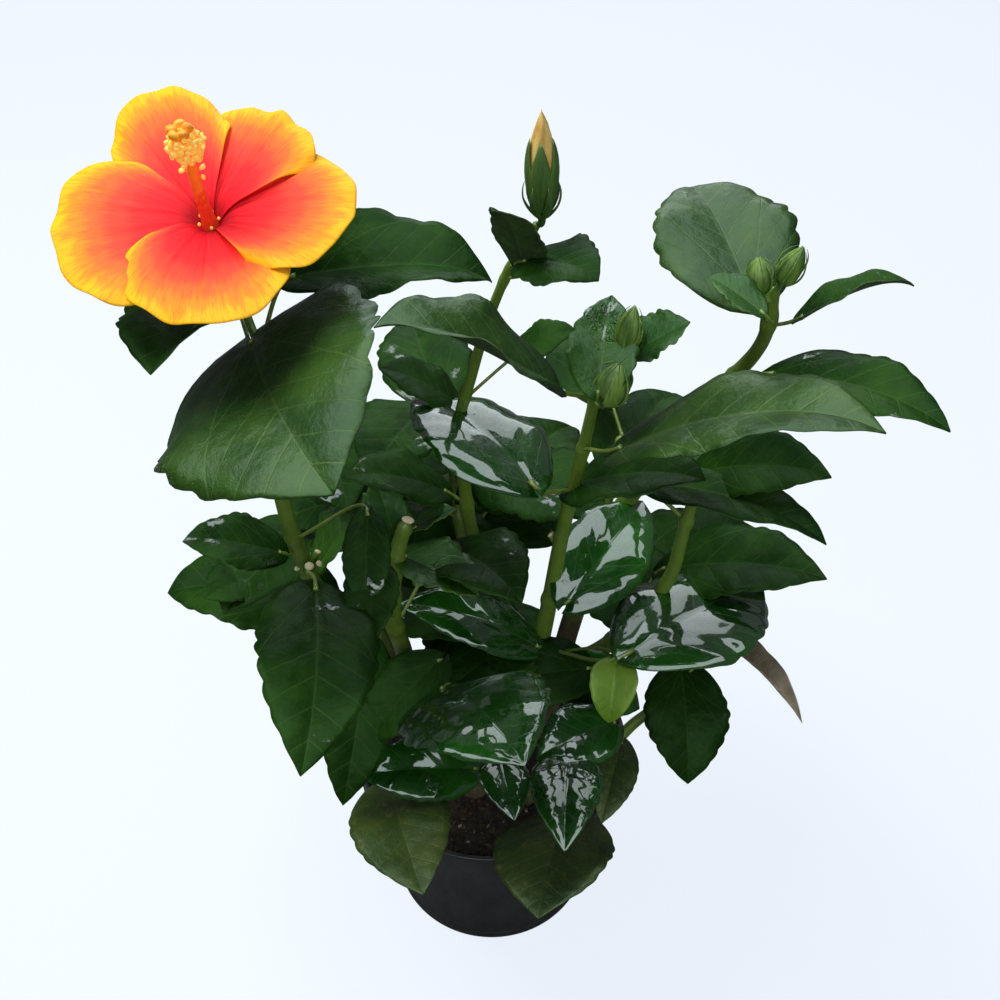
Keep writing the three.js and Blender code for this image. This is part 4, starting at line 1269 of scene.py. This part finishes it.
for k in range(5):
    turn = 2 * np.pi * k / 5 - 1.2
    speck = np.array([3.6 * math.cos(turn), 3.6 * math.sin(turn), COLUMN_FOOT + draw.uniform(3.5, 5.5)])
    anthers.append(blob(bloom_to_world(speck), np.full(3, 0.6), 600 + k))
stigmas.append(blob(bloom_to_world(column_point(ANTHER_BALL)), np.full(3, 4.9), 850, rings=14, sides=20))
for k in range(5):
    turn = 2 * np.pi * k / 5 + 0.4
    root = column_point(ANTHER_BALL)
    end = root + np.array([2.7 * math.cos(turn), 2.7 * math.sin(turn), 5.8])
    run = np.linspace(0, 1, 6)[:, None]
    stigmas.append(closed_tube(tube_points(bloom_to_world(root * (1 - run) + end * run), 0.45, 8)))
    stigmas.append(blob(bloom_to_world(end), np.array([1.9, 1.9, 1.5]), 800 + k, rings=10, sides=14))
# Every skin here carries a painted glow: 0.06 on the column and the stigmas, and 0.22 on the anthers to
# brighten them where they sit in shade.
column_parts = {
    "bloom_column_shaft": ([shaft, *filaments], column_skin(
        "column_red", (0.82, 0.008, 0.012), (1.0, 0.24, 0.02), [(0.25, 0.0), (0.62, 1.0)])),
    "bloom_anthers": (anthers, column_skin(
        "anther_yellow", (1.0, 0.42, 0.02), (1.0, 0.70, 0.16), [(0.30, 0.0), (0.70, 1.0)], 0.22)),
    "bloom_stigmas": (stigmas, column_skin(
        "stigma_orange", (0.95, 0.28, 0.01), (1.0, 0.46, 0.03), [(0.3, 0.0), (0.8, 1.0)])),
}
for name, (parts, paint) in column_parts.items():
    points, faces = joined_mesh(parts)
    piece = mesh_piece(name, points * MM, faces, [paint])
    along_axis = (points - BLOOM_CENTRE) @ BLOOM_AXIS
    level = (along_axis - COLUMN_FOOT) / (COLUMN_TIP - COLUMN_FOOT)
    if name != "bloom_column_shaft":
        level = np.random.default_rng(3).uniform(0, 1, len(points) // 8 + 1).repeat(8)[: len(points)]
    piece.data.attributes.new("height", "FLOAT", "POINT").data.foreach_set("value", level)
    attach(piece, "root")
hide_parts("bloom_column")


def green_skin(name, dark, light, streaks, roughness=0.5):
    """Calyx or bud skin: two greens in streaks that run along it, with fine ribs as bump."""
    material = plain_material(name, dark, roughness, Specular_IOR_Level=0.4)
    tree = material.node_tree
    lines = noise_at(tree, 260.0, 4.0, 0.6, stretch=streaks)
    colour = mix_colours(tree, ramp_node(tree, lines, [(0.35, 0.0), (0.65, 1.0)]), dark, light)
    tree.links.new(colour, tree.nodes["Principled BSDF"].inputs["Base Color"])
    add_bump(tree, noise_at(tree, 800.0, 3.0, stretch=streaks), 0.5, 0.0004)
    return material


def sepal(foot, axis, turn, length, half_width, radii, curl=0.0, thick=0.5):
    """One pointed lobe of a cup: it follows the cup's radius, is widest a third up and ends in a point.

    `foot` is the cup's foot, `axis` its direction, `radii` its radius at foot, middle and tip, and
    `curl` how far in mm its tip leans out.
    """
    rows, columns = 14, 9
    s = np.linspace(0.0, 1.0, rows)[:, None]
    t = np.linspace(-1.0, 1.0, columns)[None]
    side = np.cross(axis, (0.3, 0.9, 0.1))
    side = side / np.linalg.norm(side)
    up = np.cross(axis, side)
    radius = (1 - s) ** 2 * radii[0] + 2 * s * (1 - s) * radii[1] + s**2 * radii[2] + curl * s**3
    half = half_width * np.sin(np.pi * (0.16 + 0.84 * s) ** 0.8) ** 0.9 + 0.02
    spread = half * t / np.maximum(radius, 1.0)
    angle = turn + np.clip(spread, -1.6, 1.6)
    keel = 0.25 * np.exp(-((t / 0.22) ** 2)) * (1 - s)

    def place(extra):
        r = radius + extra
        ring = side * (r * np.cos(angle))[..., None] + up * (r * np.sin(angle))[..., None]
        return foot + ring + axis * (s * length)[..., None]

    outer = place(thick * (1 - 0.8 * s) * (1 - 0.7 * t**4) + keel + 0.05)
    inner = place(-0.05 + 0 * t)
    outer_faces, inner_faces, rim = shell_faces(rows, columns)
    faces = np.vstack([outer_faces, inner_faces, rim])
    return np.vstack([outer.reshape(-1, 3), inner.reshape(-1, 3)]), faces[:, ::-1].tolist()


def cup(foot, axis, length, radii, sides=20, rows=12):
    """The closed cup under the lobes: a short turned body with a radius at foot, middle and top."""
    s = np.linspace(0.0, 1.0, rows)
    radius = (1 - s) ** 2 * radii[0] + 2 * s * (1 - s) * radii[1] + s**2 * radii[2]
    line = foot + axis * (s * length)[:, None]
    ribs = 1 + 0.04 * np.cos(10 * np.linspace(0, 2 * np.pi, sides, endpoint=False))[None]
    return closed_tube(tube_points(line, radius[:, None] * ribs, sides))


calyx_green = green_skin("calyx_green", (0.05, 0.11, 0.015), (0.16, 0.26, 0.05), (1.0, 1.0, 0.2))
calyx_foot = BLOOM_CENTRE + BLOOM_AXIS * -38.0
calyx_parts = [cup(calyx_foot, BLOOM_AXIS, 20.0, (2.6, 7.0, 6.6))]
for k in range(5):
    turn = 2 * np.pi * k / 5
    lobe_foot = calyx_foot + BLOOM_AXIS * 9
    calyx_parts.append(sepal(lobe_foot, BLOOM_AXIS, turn, 19.0, 5.2, (5.6, 7.0, 8.6), curl=1.5))
for k in range(7):
    turn = 2 * np.pi * (k + 0.3) / 7
    bract_foot = calyx_foot - BLOOM_AXIS * 1
    calyx_parts.append(sepal(bract_foot, BLOOM_AXIS, turn, 15.0, 1.3, (2.6, 7.2, 9.6), curl=3.0))
stalk_foot = ROUTES["stem_left"][-1]
run = np.linspace(0, 1, 30)[:, None]
lead = stalk_foot + np.array([0.0, 0.0, -2.0])
knee = calyx_foot - BLOOM_AXIS * 10
stalk_path = (1 - run) ** 2 * lead + 2 * run * (1 - run) * knee + run**2 * (calyx_foot + BLOOM_AXIS * 1.5)
calyx_parts.append(closed_tube(tube_points(stalk_path, 1.6 + 0.9 * np.exp(-((1 - run) / 0.06)), 14)))
points, faces = joined_mesh(calyx_parts)
calyx = mesh_piece("bloom_calyx_green", points * MM, faces, [calyx_green])
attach(calyx, "root")
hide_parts("bloom_calyx")

# ---------------------------------------------------------------------------------------------
# Buds: one tall bud about to open, its furled yellow petals twisted to a point out of a ribbed
# green calyx, and small green buds crowded at the tips of the centre and right shoots. Each sits
# on a short stalk in a ring of narrow bracts.

# Each row: foot, bearing, pitch, length and radius of a bud, in mm and degrees.
TALL_BUD = ((18, 1, 397), 120, 87, 36.5, 5.3)
GREEN_BUDS = {
    "bud_centre": (
        ((47, -8, 350), 20, 80, 17, 3.4), ((41.5, -16, 332), -30, 78, 19, 5.2),
        ((50, -1, 345), 40, 66, 10, 2.2)),
    "bud_right": (
        ((98, -6, 376), -30, 72, 16, 3.6), ((91, -7, 373), 160, 80, 13, 3.9), ((99, 0, 372), 60, 64, 9, 2.1)),
}
BUD_LIMB = {"bud_centre": "stem_centre", "bud_right": "stem_right"}


def spindle_radius(share, radius):
    """Radius of the tall bud at a share of its height: narrow at the foot, widest halfway, pointed."""
    return radius * np.clip(np.sin(np.pi * (0.08 + 0.92 * share) ** 0.98), 0, 1) ** 0.72


def furled_petals(foot, axis, length, radius):
    """The furled corolla: a spindle with five twisted folds that wind once round to its point."""
    rows, sides = 50, 30
    s = np.linspace(0.08, 1.0, rows)[:, None]
    angle = np.linspace(0, 2 * np.pi, sides, endpoint=False)[None]
    fold = ((angle + 2.2 * s) * 5 / (2 * np.pi)) % 1.0
    body = (spindle_radius(s, radius) - 0.5) * (1 - 0.13 * fold * np.minimum(1, s * 3))
    return closed_tube(tube_points(foot + axis * (s * length), np.maximum(body, 0.15), sides))


def bud_stalk(start, foot, axis, thick):
    """A short stalk that leaves the cane at `start` and bends up into the bud's foot."""
    run = np.linspace(0, 1, 10)[:, None]
    bend = foot - axis * 5.0
    path = (1 - run) ** 2 * start + 2 * run * (1 - run) * bend + run**2 * (foot + axis)
    return closed_tube(tube_points(path, thick, 10))


def green_bud(foot, bearing, pitch, length, radius, cane):
    """A closed green bud: five lobes that meet in a point, inside a cage of five narrow bracts."""
    axis = heading(bearing, pitch)
    foot = np.asarray(foot, float)
    parts = [cup(foot, axis, length * 0.6, (radius * 0.5, radius * 1.35, radius * 0.75))]
    for k in range(5):
        turn = 2 * np.pi * k / 5 + 0.2
        radii = (radius * 0.70, radius * 1.55, radius * 0.06)
        parts.append(sepal(foot + axis * length * 0.06, axis, turn, length * 0.94, radius * 0.78, radii))
    for k in range(6):
        turn = 2 * np.pi * (k + 0.5) / 6
        radii = (radius * 0.45, radius * 2.25, radius * 0.55)
        parts.append(sepal(foot - axis * 0.5, axis, turn, length * 0.98, radius * 0.13, radii, curl=-0.3))
    nearest = cane[np.argmin(np.linalg.norm(cane - (foot - axis * 7.0), axis=1))]
    parts.append(bud_stalk(nearest, foot, axis, max(0.9, radius * 0.28)))
    return parts


def tall_bud(foot, bearing, pitch, length, radius, cane):
    """The opening bud's calyx: five long lobes up to three quarters of its height, and seven bracts."""
    axis = heading(bearing, pitch)
    foot = np.asarray(foot, float)
    parts = [cup(foot, axis, length * 0.30, (1.9, radius * 1.0, radius * 0.86))]
    for k in range(5):
        turn = 2 * np.pi * k / 5 + 0.55
        radii = (2.2, radius * 1.42, radius * 0.70)
        parts.append(sepal(foot + axis * 2.0, axis, turn, length * 0.70, radius * 0.80, radii))
    for k in range(7):
        turn = 2 * np.pi * (k + 0.5) / 7
        radii = (1.5, radius * 1.55, radius * 0.95)
        parts.append(sepal(foot - axis * 0.5, axis, turn, length * 0.36, radius * 0.26, radii, curl=0.6))
    parts.append(bud_stalk(cane[-1], foot, axis, 1.3))
    return parts


bud_green = green_skin("bud_green", (0.055, 0.13, 0.015), (0.20, 0.33, 0.06), (1.0, 1.0, 0.15))
bud_dark = green_skin("bud_dark", (0.022, 0.070, 0.010), (0.07, 0.15, 0.020), (1.0, 1.0, 0.15))
bud_yellow = green_skin("bud_yellow", (0.66, 0.36, 0.07), (0.86, 0.70, 0.22), (1.0, 1.0, 0.10))
for name, rows in GREEN_BUDS.items():
    parts = []
    for row in rows:
        parts += green_bud(*row, ROUTES[BUD_LIMB[name]])
    points, faces = joined_mesh(parts)
    piece = mesh_piece(f"{name}_green", points * MM, faces, [bud_green])
    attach(piece, "root")
    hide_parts(name)
points, faces = joined_mesh(tall_bud(*TALL_BUD, ROUTES["limb_bud"]))
piece = mesh_piece("bud_tall_green", points * MM, faces, [bud_dark])
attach(piece, "root")
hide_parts("bud_tall")
foot, bearing, pitch, length, radius = TALL_BUD
points, faces = furled_petals(np.array(foot, float), heading(bearing, pitch), length, radius)
tip = mesh_piece("bud_tall_petals", points * MM, faces, [bud_yellow])
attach(tip, "root")

# ---------------------------------------------------------------------------------------------
# Pruned stubs: short side shoots cut off with secateurs above a joint. Each keeps its bark and
# ends in a cut that shows pale wood. They grow from the canes.
STUBS = (
    # limb, height up it, bearing, pitch, length and radius in mm
    ("stem_left", 0.535, -70, 66, 12, 1.9),
    ("stem_left", 0.540, -10, 52, 9, 1.4),
    ("stem_left", 0.545, 40, 50, 10, 1.4),
    ("stem_left", 0.530, -160, 58, 9, 1.3),
    ("limb_left_pruned", 0.66, -100, 64, 12, 1.8),
    ("limb_left_pruned", 0.72, -165, 30, 9, 1.4),
    ("stem_front_left", 0.88, -150, 50, 8, 1.6),
    ("stem_centre", 0.60, 150, 45, 7, 1.2),
)


def cut_wood():
    """Fresh cut wood: cream and browner fibres mixed by a fine noise."""
    material = plain_material("cut_wood", (0.62, 0.55, 0.36), 0.7, Specular_IOR_Level=0.3)
    tree = material.node_tree
    fibres = noise_at(tree, 900.0, 4.0, 0.6)
    colour = mix_colours(tree, fibres, (0.66, 0.54, 0.28), (0.95, 0.88, 0.62))
    tree.links.new(colour, tree.nodes["Principled BSDF"].inputs["Base Color"])
    add_bump(tree, fibres, 0.4, 0.0003)
    return material


def cut_face(centre, axis, radius):
    """A thin lens on the end of a stub: four rings that fall from its middle to its rim."""
    run = np.array([0.0, 0.25, 0.55, 0.60])[:, None]
    thick = radius * np.array([1.02, 1.0, 0.75, 0.1])[:, None] * np.ones(14)[None]
    return closed_tube(tube_points(centre + axis * run, thick, 14))


bodies, faces_cut, wood_values = [], [], []
pruned = ROUTES["limb_left_pruned"]
tips = [(pruned[-1], pruned[-1] - pruned[-8], 2.5)]
for limb, height, bearing, pitch, length, radius in STUBS:
    axis = heading(bearing, pitch)
    start = at_share(ROUTES[limb], height)
    run = np.linspace(0, 1, 12)[:, None]
    line = start + axis * length * run + np.array([0, 0, 0.8]) * run**2
    swell = radius * (1.15 - 0.15 * run + 0.25 * np.exp(-run / 0.15) + 0.05 * np.cos(25 * run))
    bodies.append(closed_tube(tube_points(line, swell * np.ones(14)[None], 14)))
    wood_values.append(np.full(len(bodies[-1][0]), 0.25))
    tips.append((line[-1], axis, radius))
points, faces = joined_mesh(bodies)
stub_bark = mesh_piece("stub_bark", points * MM, faces, [bark])
stub_wood = stub_bark.data.attributes.new("wood", "FLOAT", "POINT")
stub_wood.data.foreach_set("value", np.concatenate(wood_values))
for centre, axis, radius in tips:
    faces_cut.append(cut_face(centre, axis / np.linalg.norm(axis), radius))
points, faces = joined_mesh(faces_cut)
stub_cuts = mesh_piece("stub_cuts", points * MM, faces, [cut_wood()])
for piece in (stub_bark, stub_cuts):
    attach(piece, "root")
